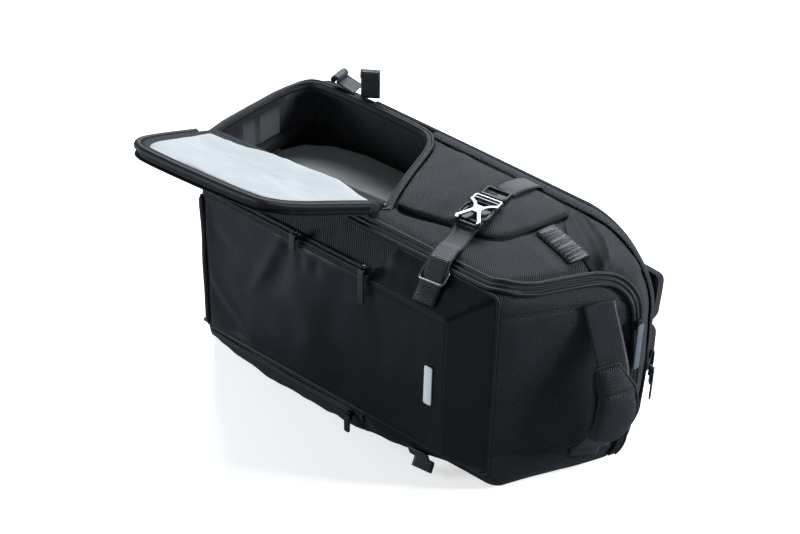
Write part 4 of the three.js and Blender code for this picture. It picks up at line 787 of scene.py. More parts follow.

# %% [markdown]
# ## Pads
# Every padded panel is an outline filled with rings that shrink towards its middle. The height over the base
# grows from nothing at the edge in a quarter circle, which gives the rolled edge of foam under cloth. The same
# maker serves the side panel, the flap and the back pads: only the outline, the surface it lies on and the height
# differ. The shoulder straps are built the same way by code of their own.

# %% Pad maker
def pad(name, outline, lay, top, round_, finish, slot, under=0.0, crown=0.0, extra=None, nodes=(), inset_step=4.0,
        keep=None):
    """A cushion over an outline (n, 2). lay(a, b, h) places it, top and under are its heights, round_ is the
    edge's radius, crown swells its middle, and extra(points, inset) adds folds and seams."""
    outline = np.asarray(outline, float)
    n = len(outline)
    centre = outline.mean(0) if keep is None else np.asarray(keep, float)
    reach = np.linalg.norm(outline - centre, axis=1).mean()
    insets = np.concatenate([np.array([0, 0.12, 0.3, 0.55, 0.85]) * round_,
                             np.arange(round_ * 1.2, reach * 0.985, inset_step)])
    shares = insets / reach
    rings = outline[None] + (centre - outline)[None] * shares[:, None, None]
    flat = rings.reshape(-1, 2)
    inset = np.repeat(insets, n) if reach < 8 else distance_to(flat, resampled(outline, max(n, 160), closed=True))
    inset[:n] = 0
    rise = np.sqrt(np.clip(1 - (1 - np.clip(inset / round_, 0, 1)) ** 2, 0, 1))
    height = top * rise + crown * (1 - np.exp(-inset / (reach * 0.35))) * rise
    if extra is not None:
        height = height + extra(flat, inset) * np.clip(inset / round_, 0, 1)
    depth = -under * rise
    middle_high, middle_low = height[-n:].mean(), depth[-n:].mean()
    upper = np.stack(lay(flat[:, 0], flat[:, 1], height), 1)
    lower = np.stack(lay(flat[n:, 0], flat[n:, 1], depth[n:]), 1)
    tips = np.array([np.stack(lay(*[np.array([v]) for v in (*centre, h)]), 1)[0] for h in (middle_high,
        middle_low)])
    points = np.vstack([upper, lower, tips])
    rows = len(insets)
    faces = grid_faces(rows, n, close_columns=True)
    below = rows * n
    faces += [[i, (i + 1) % n, below + (i + 1) % n, below + i][::-1] for i in range(n)]
    faces += [f[::-1] for f in grid_faces(rows - 1, n, close_columns=True, start=below)]
    last, last_low = (rows - 1) * n, below + (rows - 2) * n
    tip = len(points) - 2
    faces += [[last + i, last + (i + 1) % n, tip] for i in range(n)]
    faces += [[last_low + (i + 1) % n, last_low + i, tip + 1] for i in range(n)]
    made = new_piece(name, points, faces, finish, slot, nodes=nodes)
    work = bmesh.new()
    work.from_mesh(made.data)
    bmesh.ops.recalc_face_normals(work, faces=work.faces)
    work.to_mesh(made.data)
    work.free()
    return made


def smooth_outline(corners, count, radius_steps=3):
    """A closed outline with softened corners: corner cutting, then even spacing."""
    p = np.asarray(corners, float)
    for _ in range(radius_steps):
        q = np.roll(p, -1, axis=0)
        p = np.stack([0.75 * p + 0.25 * q, 0.25 * p + 0.75 * q], 1).reshape(-1, p.shape[1])
    return resampled(p, count, closed=True)


# %% [markdown]
# ## Letting the cloth solver swell a pad
# A formula gives a pad its outline and its height, and then its surface is too even. Real foam pushes the cloth
# out between the seams until the cloth is tight. So a coarse even copy of the pad is inflated by the cloth
# solver for twenty frames without gravity. Its movement is then scaled, up or down, so that the largest tenth
# just reaches the cap: the solver decides where the pad swells, and the cap how much. The pad's own finer points
# follow the coarse ones beside them, so seams and rolled edges stay sharp.

# %% Swelling by the cloth solver
SWELL_FRAMES, FOLLOWED_POINTS = 20, 6


def swell(piece, cap, voxel=5.0, pressure=4.0):
    """Inflates a coarse copy of a closed pad, scales its movement to the cap in millimetres, and follows it."""
    ball = bpy.data.objects.new(piece.name + "_coarse", piece.data.copy())
    bpy.context.scene.collection.objects.link(ball)
    even = ball.modifiers.new("even", "REMESH")
    even.mode, even.voxel_size = "VOXEL", voxel / 1000
    apply_modifiers(ball)
    before = np.array([v.co for v in ball.data.vertices])
    solver = ball.modifiers.new("inflation", "CLOTH")
    solver.settings.use_pressure = True
    solver.settings.uniform_pressure_force = pressure
    solver.settings.effector_weights.gravity = 0.0
    solver.settings.quality = 4
    for step in range(1, SWELL_FRAMES + 1):
        bpy.context.scene.frame_set(step)
    graph = bpy.context.evaluated_depsgraph_get()
    after = np.array([v.co for v in ball.evaluated_get(graph).data.vertices])
    bpy.context.scene.frame_set(1)
    bpy.data.objects.remove(ball)
    move = (after - before) * 1000
    size = np.linalg.norm(move, axis=1)
    typical = max(float(np.percentile(size, 90)), 1e-6)
    move *= (cap / np.maximum(size, typical))[:, None]
    tree = KDTree(len(before))
    for i, p in enumerate(before):
        tree.insert(p, i)
    tree.balance()
    for vertex in piece.data.vertices:
        near = tree.find_n(vertex.co, FOLLOWED_POINTS)
        weight = np.array([1 / (d * 1000 + 1.0) ** 2 for _, _, d in near])
        shift = (move[[i for _, i, _ in near]] * weight[:, None]).sum(0) / weight.sum()
        vertex.co += Vector(shift / 1000)
    piece.data.update()
    print(piece.name, "the solver moved", len(before), "points by", round(typical, 3), "mm, scaled to", cap, "mm")


# %% [markdown]
# ## Inside the opening
# A light padded shelf closes the camera compartment below, a padded wall stands at its end, and a dark padded
# ledge runs along the base.

# %% Shelf, wall and ledge
def on_shelf(a, b, h):
    return a, b, 206.0 + h


def quilt(points, inset):
    return 0.7 * ripples(np.hstack([points, np.zeros((len(points), 1))]), 46,
                         21) + 0.3 * ripples(np.hstack([points, np.zeros((len(points), 1))]), 17, 22)


shelf = pad("shelf_pad", smooth_outline([(9.5, 9), (250.5, 9), (250.5, 176), (9.5, 176)], 200, 2), on_shelf, 5.2, 5,
            PALE_LINING,
            "light_lining", under=3.0, extra=quilt, nodes=["padded_shelf"])
wall = pad("wall_pad", smooth_outline([(9, 12), (176, 12), (176, 276), (9, 270)], 180, 2), lambda a, b,
           h: (255.0 - h, a, b), 2.4, 4,
           DARK_LINING, "dark_lining", under=4.5, extra=quilt, nodes=["compartment_wall"])
ledge = pad("ledge_pad", smooth_outline([(11, 213), (175, 213), (175, 231), (11, 231)], 150, 2), lambda a, b,
            h: (9.5 + h, a, b), 7.0, 5,
            DARK_LINING, "dark_lining", under=0.8, nodes=["base_ledge"], inset_step=1.6,
            extra=lambda p, inset: 0.6 * ripples(np.hstack([p, 0 * p[:, :1]]), 26, 23))

# %% [markdown]
# ## The zip round the opening
# The opening's edge is a cord sewn into cloth, the piping, with the zip tape inside it and a softer rolled
# edge of the lining. One wavy cross section carried round the outline makes all of it.

# %% Piped zip edge
def plan_path(line, lift):
    """A plan line laid on the upper side, with outward directions straight up or with the skin."""
    path = np.column_stack([line, upper_height(line[:, 0], line[:, 1]) + lift])
    step = 1.0
    dx = (upper_height(line[:, 0] + step, line[:, 1]) - upper_height(line[:, 0] - step, line[:, 1])) / (2 * step)
    dy = (upper_height(line[:, 0], line[:, 1] + step) - upper_height(line[:, 0], line[:, 1] - step)) / (2 * step)
    out = np.column_stack([-dx, -dy, np.ones(len(line))])
    return path, out / np.linalg.norm(out, axis=1, keepdims=True)


def teeth(height, period, from_a, to_a):
    """A change of a band's profile that raises the points between two places across at each zip tooth."""
    def shape(i, far, profile):
        p = profile.copy()
        row = (p[:, 0] > from_a) & (p[:, 0] < to_a) & (p[:, 1] > 0.8)
        p[row, 1] += height * (0.5 + 0.5 * math.sin(2 * math.pi * far / period))
        return p
    return shape


EDGE_PROFILE = np.array([(8.2, 0.0), (7.6, 1.9), (6.4, 3.1), (5.0, 3.1), (3.9, 2.0), (3.3, 1.2), (1.6, 1.3),
                         (0.9, 2.4), (-0.4, 2.6),
                         (-1.2, 1.6), (-1.6, 0.2), (-2.3, -1.2), (-2.8, -3.2), (-2.2, -5.2), (-0.4, -6.2),
                         (0.6, -4.5), (0.8, -0.2), (3.5, 0.1)])
mouth_path, mouth_up = plan_path(resampled(mouth_line, 820, closed=True), 0.2)
mouth_edge = sweep("mouth_edge", mouth_path, mouth_up, EDGE_PROFILE * (-1, 1), TAPE_CLOTH, "zip_tape",
                   nodes=["mouth_zip_tape"],
                   shape=teeth(0.5, 2.4, -3.4, -0.2), closed=True)

# %% [markdown]
# ## Side panel, stretch panel and gathered elastic
# The side panel is foam under finely ribbed cloth, sewn down all round with a second seam along the back. The
# elastic is a band that is gathered into ribs when it is slack.

# %% Panels on the side that faces up
def on_side(a, b, h):
    return a, b, upper_height(a, b) + h


def beside_mouth(outline):
    """Keeps a panel's outline off the zip edge round the opening."""
    out = outline.copy()
    edge = mouth_line
    for i, p in enumerate(out):
        gap = np.linalg.norm(edge - p, axis=1)
        k = int(gap.argmin())
        inside = (p[0] < 205 and p[1] < 160) or (p[0] < edge[k][0])
        if gap[k] < 9 or inside:
            way = (p - edge[k]) / max(gap[k], 1e-6)
            if p[0] < edge[k][0] or gap[k] < 0.5:
                way = np.array([0.97, 0.2])
            out[i] = edge[k] + way * 9
    return out


back_seam = np.column_stack([np.linspace(200, 384, 90), 152 + 3 * np.sin(np.linspace(0, 3, 90))])


def panel_folds(points, inset):
    to_seam = distance_to(points, back_seam)
    near_strap = np.exp(-((points[:, 0] - 327) / 26) ** 2 - ((points[:, 1] - 60) / 40) ** 2)
    p = np.column_stack([points, 0 * points[:, 0]])
    return -1.5 * np.exp(-(to_seam / 2.0) ** 2) + 0.45 * ripples(p, 38,
                                                                 31) + 0.9 * near_strap * ripples(p * (1.0, 0.4, 1),
                                                                     20, 32)


panel_outline = smooth_outline([(212, 158), (224, 100), (236, 60), (246, 38), (258, 34), (315, 47), (349, 50),
                                (368, 64), (383, 94),
                                (390, 120), (397, 157), (300, 159)], 260, 2)
side_panel = pad("side_panel_pad", beside_mouth(panel_outline), on_side, 5.2, 6, RIB_CLOTH, "twill_fabric",
                 under=0.3, crown=1.4,
                 extra=panel_folds, nodes=["side_panel"], inset_step=3.0)
swell(side_panel, 2.5)

stretch_outline = smooth_outline([(394, 160), (398, 122), (440, 95), (460, 88), (474, 104), (452, 130), (428, 146),
                                  (406, 155)], 160, 2)
def stretch_folds(points, inset):
    """The slack stretch cloth lies in one long fold away from the elastic."""
    fold = distance_to(points, resampled(np.array([(404.0, 152.0), (432.0, 131.0), (466.0, 104.0)]), 60))
    flat = np.column_stack([points, 0 * points[:, 0]])
    ridge = 1.6 * np.exp(-(fold / 5.0) ** 2) - 1.0 * np.exp(-((fold - 11) / 5.0) ** 2)
    return ridge + 0.3 * ripples(flat, 24, 33)


stretch = pad("stretch_panel_cloth", stretch_outline, on_side, 1.4, 4, STRETCH_CLOTH, "mesh_fabric", under=0.3,
              extra=stretch_folds, nodes=["stretch_panel"], inset_step=2.5)

elastic_line = resampled(ELASTIC_ENDS, 160)
ELASTIC_LONG = float(np.linalg.norm(ELASTIC_ENDS[1] - ELASTIC_ENDS[0]))
elastic_path, elastic_up = plan_path(elastic_line, 2.0)


def gathers(i, far, profile):
    """Ribs of the gathered band, a little uneven in spacing and flat at both seams."""
    wave = 0.5 + 0.5 * math.sin(2 * math.pi * (far / 5.6 + 0.10 * math.sin(far / 9.0)))
    ends = min(far, ELASTIC_LONG - far) / 6.0
    p = profile.copy()
    top = p[:, 1] > 0
    p[top, 1] *= 0.5 + 0.5 * wave * min(max(ends, 0.1), 1)
    p[:, 0] *= 1 + 0.02 * wave
    return p


elastic = sweep("gathered_elastic", elastic_path, elastic_up,
                [(-12.5, -1.5), (-12.5, 0.6), (-10, 2.6), (-5, 3.4), (0, 3.6), (5, 3.4), (10, 2.6), (12.5, 0.6),
                 (12.5, -1.5)],
                WEBBING_CLOTH, "elastic", nodes=["side_elastic"], shape=gathers)

# %% [markdown]
# ## Zip bands
# The main zip runs along the front edge, round the corner and up the end, between two lines of piping. The
# zip to the back compartment is a plainer band.

# %% Main band and back band
BAND_PROFILE = np.array([(-7.6, -0.6), (-7.5, 1.4), (-6.4, 3.0), (-4.9, 3.3), (-3.7, 2.3), (-3.0, 1.5), (-1.3, 1.6),
                         (-0.9, 2.3), (0.9, 2.3),
                         (1.3, 1.6), (3.0, 1.5), (3.7, 2.3), (4.9, 3.3), (6.4, 3.0), (7.5, 1.4), (7.6, -0.6)])
main_band = sweep("main_zip_piping", main_line, main_out, BAND_PROFILE, TAPE_CLOTH, "zip_tape",
                  nodes=["main_zip_band"],
                  shape=teeth(0.5, 2.4, -1.2, 1.2))
# Over its first part lies a sewn strip of ribbed cloth, and the back edge is bound in a roll of air mesh
EDGE_STRIP = np.array([(0.45, 0.925), (0.8, 0.915), (1.1, 0.905), (1.4, 0.9), (1.7, 0.9), (2, 0.902), (2.4, 0.905)])
EDGE_ROLL = np.array([(0.2, 0.972), (0.6, 0.972), (1, 0.968), (1.3, 0.965), (1.7, 0.965), (2, 0.968), (2.5, 0.97),
                      (3, 0.972), (3.4, 0.972)])
strip_line, strip_out = on_skin(EDGE_STRIP, 300)
sweep("back_edge_strip", strip_line, strip_out,
      [(-9, -0.5), (-8.4, 1.0), (-6, 2.8), (0, 4.2), (6, 3.4), (8.4, 1.2), (9, -0.5)], RIB_CLOTH,
      "twill_fabric")
roll_line, roll_out = on_skin(EDGE_ROLL, 420)
sweep("back_edge_roll", roll_line + roll_out * 0.6, roll_out, circle_profile(3.4, 14), MESH_CLOTH, "mesh_fabric")
back_band = sweep("back_zip_piping", back_line, back_out, BAND_PROFILE * (0.75, 0.9), TAPE_CLOTH, "zip_tape",
                  nodes=["back_zip_band"],
                  shape=teeth(0.4, 2.4, -1.0, 1.0))

# %% [markdown]
# ## The flap
# The flap is a stiffened panel with a rolled rim. It is modelled in its own frame, whose x runs along the hinge
# and y towards the body, and then turned up by 22 degrees. Its light lining is a slack pad, so the cloth
# solver inflates it a little, which gives an uneven surface that a formula would not.

# %% The flap's frame
FLAP_TILT, FLAP_SKEW = math.radians(22), math.radians(4)
hinge_at = np.array([MOUTH_X + MOUTH_LENGTH / 2, HINGE_Y, float(upper_height(LENGTH / 4, HINGE_Y))])
turn = np.array(Matrix.Rotation(FLAP_SKEW, 3, "Z") @ Matrix.Rotation(-FLAP_TILT, 3, "X"))


def in_flap(a, b, h):
    """A point of the flap from its own frame."""
    p = np.stack([a, b, h], -1) @ turn.T + hinge_at
    return p[..., 0], p[..., 1], p[..., 2]


FLAP_TOP, FLAP_THICK, NEAR_EDGE = 5.6, 14.0, -6.0
flap_curve = np.column_stack([mouth_line[:, 0] - MOUTH_X - MOUTH_LENGTH / 2, HINGE_Y - mouth_line[:, 1]])
flap_curve = flap_curve[flap_curve[:, 1] < NEAR_EDGE - 5]
flap_outline = resampled(np.vstack([[flap_curve[0][0], NEAR_EDGE], flap_curve, [flap_curve[-1][0], NEAR_EDGE]]),
                         300, closed=True)
flap_middle = (0.0, -78.0)


def flap_rim(points, inset):
    """The rim's roll, the channel inside it and the well for the lining."""
    return 1.2 * np.exp(-((inset - 5) / 3.5) ** 2) - 3.0 * smoothstep(8.5, 10.5, inset)


flap = pad("flap_cloth", flap_outline, lambda a, b, h: in_flap(a, b, h - 3.0), FLAP_TOP + 2.2, 5.5, TWILL_CLOTH,
           "twill_fabric",
           under=FLAP_THICK - FLAP_TOP - 3.4, extra=flap_rim, nodes=["flap_shell"], keep=flap_middle)


def shrunk(outline, distance, middle):
    """An outline moved towards its middle by about a distance."""
    way = middle - outline
    return outline + way / np.linalg.norm(way, axis=1, keepdims=True) * distance


def lining_swell(points, inset):
    """The lining's foam stands up by the hinge, and its surface is a little uneven."""
    flat = np.column_stack([points, 0 * points[:, 0]])
    by_hinge = np.exp(-((points[:, 1] + 16) / 30) ** 2) * smoothstep(-112, 10,
                                                                     points[:, 0]) * (1 - smoothstep(62, 112,
                                                                         points[:, 0]))
    return 11.0 * by_hinge * smoothstep(0, 10, inset) + 0.55 * ripples(flat, 52, 41) + 0.25 * ripples(flat, 19, 42)


lining = pad("flap_lining_pad", shrunk(flap_outline, 10.5, np.array(flap_middle)), lambda a, b,
             h: in_flap(a, b, h + 0.6), 3.6, 4,
             PALE_LINING, "light_lining", under=0.3, crown=1.2, nodes=["flap_lining"], keep=flap_middle,
             extra=lining_swell)
swell(lining, 1.6)

lip_line = resampled(flap_curve[6:-6], 620)
lip_path = np.stack(in_flap(lip_line[:, 0], lip_line[:, 1], np.full(len(lip_line), FLAP_TOP - FLAP_THICK + 0.8)), 1)
lip_up = np.tile(turn[:, 2], (len(lip_line), 1))
LIP_PROFILE = np.array([(-6.8, -1.4), (-7.4, -0.2), (-6.8, 1.2), (-5.4, 1.5), (-4.2, 0.8), (1.6, 0.9), (3.0, 0.4),
                        (3.0, -0.6), (0, -0.9)])
lip = sweep("flap_zip_edge", lip_path, lip_up, LIP_PROFILE, TAPE_CLOTH, "zip_tape", nodes=["flap_zip_lip"],
            shape=teeth(0.45, 2.4, -7.2, -5.0))
roll_edge = np.stack(in_flap(lip_line[:, 0], lip_line[:, 1], np.full(len(lip_line), FLAP_TOP - 3.4)), 1)
sweep("flap_rim_binding", roll_edge, lip_up, circle_profile(4.4, 14) + (1.2, 0.0), TAPE_CLOTH, "zip_tape")

hinge_line = np.column_stack([np.linspace(-117, 116, 120), np.zeros(120), np.zeros(120)])
hinge_path = np.stack(in_flap(hinge_line[:, 0], np.full(120, -2.6), np.full(120, 3.4)), 1)
hinge_up = np.tile(turn @ np.array([0, -0.55, 0.83]), (120, 1))
hinge_cloth = sweep("flap_hinge_cloth", hinge_path, hinge_up,
                    [(-6.4, -3.2), (-4.4, -0.2), (0, 1.2), (4.4, 0.0), (6.6, -3.4), (4, -3.0), (0, -1.2),
                     (-4, -2.6)],
                    TWILL_CLOTH, "twill_fabric", nodes=["flap_hinge"])
print("flap built, rim top at", round(float(np.max(np.stack(in_flap(flap_outline[:, 0], flap_outline[:, 1],
                                                                    np.full(300, FLAP_TOP)), 1)[:, 2])), 1))

# %% [markdown]
# ## The front pocket
# The cover is coated cloth over soft padding: almost flat, with long soft folds that catch the light. Its rings
# start at the seam on the body, run down the slope to the face and then shrink towards the middle of the face.
# The slope's base part is a gusset of plain twill behind the two covered zips.

# %% Pocket outline
POCKET_OUT = 33.0
SEAM_RING = dict(base=0.01, end=0.823, half_base=0.862, half_end=0.825, radius=0.06)
FACE_RING = dict(base=0.072, end=0.747, half_base=0.628, half_end=0.628, radius=0.03)
ZIP_END = 0.534 * LENGTH
ZIP_SHARES = {1: 0.84, -1: 0.955}
LONG_STEPS, SHORT_STEPS, CORNER_STEPS = 96, 52, 6
# The lower side sags towards the floor: share of the way out, drop; and place along the pocket, part of that drop
SAG = np.array([(0, 0.33), (0.3, 0.7), (0.5, 0.84), (0.7, 0.9), (0.85, 0.72), (0.93, 0.41), (1, 0)])
SAG_ALONG = np.array([(0, 0.3), (0.1, 0.7), (0.25, 1), (0.6, 1), (0.8, 0.65), (0.92, 0.3), (1, 0)])


def sag_at(share, along):
    """How far the pocket's lower side hangs below a straight slope."""
    return POCKET_OUT * np.interp(share, SAG[:, 0], SAG[:, 1]) * np.interp(along, SAG_ALONG[:, 0], SAG_ALONG[:, 1])


def pocket_ring(share):
    """The outline (x, z) at a share of the way from the seam to the face, clockwise from the upper base corner."""
    mix = {k: SEAM_RING[k] + (FACE_RING[k] - SEAM_RING[k]) * share for k in SEAM_RING}
    left, right = mix["base"] * LENGTH, mix["end"] * LENGTH
    high_left, high_right, r = mix["half_base"] * MID, mix["half_end"] * MID, mix["radius"] * MID
    centres = [(left + r, high_left - r, 180), (right - r, high_right - r, 90), (right - r, r - high_right, 0),
               (left + r, r - high_left, -90)]
    arcs = []
    for x, z, start in centres:
        a = np.radians(start - 90 * np.linspace(0, 1, CORNER_STEPS))
        arcs.append(np.column_stack([x + r * np.cos(a), MID + z + r * np.sin(a)]))
    ring = []
    for i, steps in enumerate((LONG_STEPS, SHORT_STEPS, LONG_STEPS, SHORT_STEPS)):
        ring.append(arcs[i])
        t = np.linspace(0, 1, steps + 2)[1:-1, None]
        ring.append(arcs[i][-1] * (1 - t) + arcs[(i + 1) % 4][0] * t)
    ring = np.vstack(ring)
    half = max(high_left, high_right)
    down = np.clip((MID + half - ring[:, 1]) / (2 * half), 0, 1) ** 2
    ring[:, 1] -= down * smoothed(sag_at(share, (ring[:, 0] - left) / (right - left)), 3)
    return ring


# Folds of the face: a line through points (x, z), how wide, and how far it is pressed in (less than 0 stands out)
FACE_FOLDS = [
    ([(37, 143), (56, 116), (85, 84), (123, 51)], 7.0, -1.7),
    ([(37, 116), (62, 90), (96, 55)], 14.0, 2.4),
    ([(150, 226), (134, 191), (122, 168), (107, 140)], 6.5, -1.6),
    ([(164, 222), (150, 188), (136, 160)], 12.0, 2.0),
    ([(177, 175), (191, 128), (178, 72)], 22.0, -1.8),
    ([(230, 200), (222, 140), (236, 80)], 20.0, 1.8),
    ([(157, 231), (161, 214)], 5.0, 1.6),
    ([(178, 229), (180, 205)], 6.0, 1.9),
    ([(203, 227), (199, 209)], 6.0, 1.5),
    ([(40, 200), (70, 176), (104, 170)], 12.0, 1.5),
    ([(262, 224), (283, 190), (290, 150)], 11.0, 1.3),
    ([(300, 60), (330, 84), (352, 90)], 12.0, 0.9),
]


def face_press(points):
    """How far points (x, z) of the face are pressed in."""
    flat = np.column_stack([points, 0 * points[:, 0]])
    press = 1.1 * ripples(flat, 150, 51) + 0.45 * ripples(flat, 52, 52)
    for line, wide, deep in FACE_FOLDS:
        path = spline(line, 60)
        far = distance_to(points, path)
        near = np.argmin(((points[:, None] - path[None, ::4]) ** 2).sum(-1), axis=1) / 14.0
        fade = np.sin(np.pi * np.clip(0.12 + 0.76 * near, 0, 1)) ** 0.7
        press += 1.5 * deep * fade * np.exp(-(far / wide) ** 2)
    calm = np.exp(-((points[:, 0] - 354) / 16) ** 2)
    return press * (1 - 0.85 * calm)


def on_slope(x, share, side):
    """A point on the pocket's upper (side 1) or lower slope, and the direction out of it."""
    along = (x / LENGTH - SEAM_RING["base"]) / (SEAM_RING["end"] - SEAM_RING["base"])
    back = SEAM_RING["half_base"] + (SEAM_RING["half_end"] - SEAM_RING["half_base"]) * along

    def section_point(at):
        half = MID * (back + (FACE_RING["half_end"] - back) * at) + (sag_at(at, along) if side < 0 else 0)
        return np.array([x, -0.3 - at * (POCKET_OUT - 0.3), MID + side * half])
    way = section_point(min(share + 0.02, 1)) - section_point(share - 0.02)
    out = np.array([0.0, side * way[2], -side * way[1]])
    return section_point(share), out / np.linalg.norm(out)


# %% Pocket cover and gusset
slope_shares = [0, 0.03, 0.08, 0.16, 0.26, 0.36, 0.46, 0.56, 0.66, 0.75, 0.83, 0.88, 0.93, 0.955, 0.975, 0.99, 1.0]
rings, heights, is_slope = [], [], []
for share in slope_shares:
    ring = pocket_ring(share)
    flat = np.column_stack([ring[:, 0], np.full(len(ring), 33 * share), ring[:, 1]])
    above = ring[:, 1] > MID
    wrinkle = 1.0 * ripples(flat * (1, 0.6, 1), 34, 53) + 0.6 * ripples(flat * (1, 0.4, 1), 15, 54)
    calm = math.sin(math.pi * share) ** 0.8 if share < 1 else 0.0
    rings.append(ring)
    heights.append(-0.3 - share * (POCKET_OUT - 0.3) + calm * (0.6 + 0.9 * wrinkle) * np.where(ring[:,
        0] < ZIP_END + 20, 1.0, 0.4))
face = pocket_ring(1.0)
middle_low, middle_high = face[:, 0].min() + 91, face[:, 0].max() - 91
nearest = np.column_stack([np.clip(face[:, 0], middle_low, middle_high), np.full(len(face), MID)])
for inset in np.concatenate([[1.0, 2.2, 3.6, 5.5, 8.0], np.arange(11.5, 89, 3.4), [91]]):
    ring = face + (nearest - face) * (inset / 91)
    rim = 1 - math.sqrt(max(1 - max(1 - inset / 5.0, 0) ** 2, 0))
    rings.append(ring)
    seam = 0.9 * math.exp(-((inset - 2.6) / 0.9) ** 2)
    heights.append(-POCKET_OUT + 1.0 * rim + seam + face_press(ring) * smoothstep(1, 14, inset))
around = len(face)
cover_points = np.vstack([np.column_stack([r[:, 0], h if np.ndim(h) else np.full(around, h), r[:, 1]]) for r,
                          h in zip(rings, heights)])
cover_faces = grid_faces(len(rings), around, close_columns=True)
first_face_ring = len(slope_shares) - 1
lean = POCKET_OUT * 0.7


def in_gusset(quad):
    """Whether a quad belongs to the twill gusset: on the slope, on the base's side of the zips' end."""
    if min(quad) // around >= first_face_ring:
        return False
    middle_ = cover_points[quad].mean(0)
    off_face = min(max(abs(middle_[2] - MID) - 91, 0), POCKET_OUT)
    return middle_[0] < ZIP_END + lean * off_face / POCKET_OUT


gusset_faces = [f for f in cover_faces if in_gusset(f)]
coated_faces = [f for f in cover_faces if not in_gusset(f)]


def picked(faces):
    """Only the points that some faces use, and those faces renumbered."""
    used = sorted({i for f in faces for i in f})
    at = {i: k for k, i in enumerate(used)}
    return cover_points[used], [[at[i] for i in f] for f in faces]


pocket_cover = new_piece("pocket_cover", *picked(coated_faces), COATED_CLOTH, "coated_fabric",
                         nodes=["front_pocket"])
joined = bmesh.new()
joined.from_mesh(pocket_cover.data)
bmesh.ops.remove_doubles(joined, verts=joined.verts, dist=5e-5)
joined.to_mesh(pocket_cover.data)
joined.free()
gusset_cloth = new_piece("pocket_gusset_cloth", *picked(gusset_faces), TWILL_CLOTH, "twill_fabric",
                         nodes=["pocket_gusset"])
print("pocket faces", len(coated_faces), len(gusset_faces))

# %% [markdown]
# The zips are covered by two folds of tape that meet over the coil. Piping closes the cover's base edge and its
# seam towards the top end.

# %% Pocket zips and piping
COVERED_ZIP = np.array([(-4.6, -0.3), (-4.5, 1.2), (-3.2, 2.2), (-1.6, 2.3), (-0.5, 1.5), (0, 0.7), (0.5, 1.5),
                        (1.6, 2.3), (3.2, 2.2),
                        (4.5, 1.2), (4.6, -0.3)])
for name, side in (("upper", 1), ("lower", -1)):
    xs = np.linspace(0.080 * LENGTH, ZIP_END - 1, 160)
    on = [on_slope(x, ZIP_SHARES[side], side) for x in xs]
    path = np.array([p for p, _ in on])
    out = np.array([o for _, o in on])
    path = path + out * (0.5 * ripples(path, 60, 61))[:, None]
    sweep("pocket_zip_" + name + "_tape", path, out, COVERED_ZIP, TAPE_CLOTH, "zip_tape",
          nodes=["pocket_zip_" + name])


def edge_cord(name, path, radius, finish=TAPE_CLOTH, slot="zip_tape"):
    """A round cord, such as piping, along a path, with its ends drawn in."""
    path = np.asarray(path, float)
    along = directions(path)
    hint = np.tile([0.31, -0.84, 0.45], (len(path), 1))
    count = len(path)

    def taper(i, far, profile):
        return profile * min(1.0, 0.35 + 0.3 * min(i, count - 1 - i))
    return sweep(name, path, hint + 0 * along, circle_profile(radius, 10), finish, slot, shape=taper)


left_edge = np.array([(34.6, -31.6, z) for z in np.linspace(55, 235, 60)])
left_edge[:, 1] += 0.5 * ripples(left_edge, 50, 63)
edge_cord("pocket_piping_base", left_edge, 3.6)
seam_line = pocket_ring(0.0)
far_side = seam_line[seam_line[:, 0] > ZIP_END + 16]
edge_cord("pocket_piping_end", resampled(np.column_stack([far_side[:, 0], np.full(len(far_side), -1.4),
                                                          far_side[:, 1]]), 170), 1.9)

# %% [markdown]
# ## Stitches
# Seams are dotted with stitches: short rounded bars, sunk a little into the cloth. Each row is one mesh.

# %% Stitch maker
def stitches(name, path, out, pitch=3.2, long=2.1, thick=0.42, slot="twill_fabric", sink=0.0, finish=None):
    """A row of stitches along a path with outward directions."""
    path, out = np.asarray(path, float), np.asarray(out, float)
    length = np.linalg.norm(np.diff(path, axis=0), axis=1).sum()
    count = max(int(length / pitch), 2)
    both = resampled(np.hstack([path, out]), count)
    along = directions(both[:, :3])
    up_ = both[:, 3:] / np.linalg.norm(both[:, 3:], axis=1, keepdims=True)
    side_ = np.cross(along, up_)
    shape = [(-0.5, 0.0), (-0.35, 0.8), (0, 1.0), (0.35, 0.8), (0.5, 0.0)]
    points, faces = [], []
    for i in range(count):
        base = len(points)
        for t, tall in shape:
            for a in (0, 72, 144, 216, 288):
                c, s = math.cos(math.radians(a)), math.sin(math.radians(a))
                reach_ = thick * (0.35 + 0.65 * tall)
                points.append(both[i, :3] + along[i] * t * long + side_[i] * c * reach_ + up_[i] *
                              (s * reach_ - sink))
        for k in range(len(shape) - 1):
            faces += [[base + k * 5 + j, base + k * 5 + (j + 1) % 5, base + k * 5 + 5 + (j + 1) % 5,
                       base + k * 5 + 5 + j] for j in range(5)]
        faces += [[base + j for j in range(5)][::-1], [base + 20 + j for j in range(5)]]
    return new_piece(name, np.array(points), faces, finish or THREAD, slot)


# %% [markdown]
# ## Straps
# Webbing is stiff along its length and flat across, so it is a thin profile carried along a path in one plane.
# The side strap comes out of the buckle, runs over the zip's edge through a wire ring and down to the pocket.

# %% Strap frames
def strap_frame(place_x, place_y, turn_degrees):
    """Maps a path (along, height) and a distance across to points, on a plan line through a place."""
    t = math.radians(turn_degrees)
    at, across, along = np.array([place_x, place_y, 0.0]), np.array([math.cos(t), math.sin(t),
                                                                     0]), np.array([-math.sin(t), math.cos(t), 0])
    return at, across, along


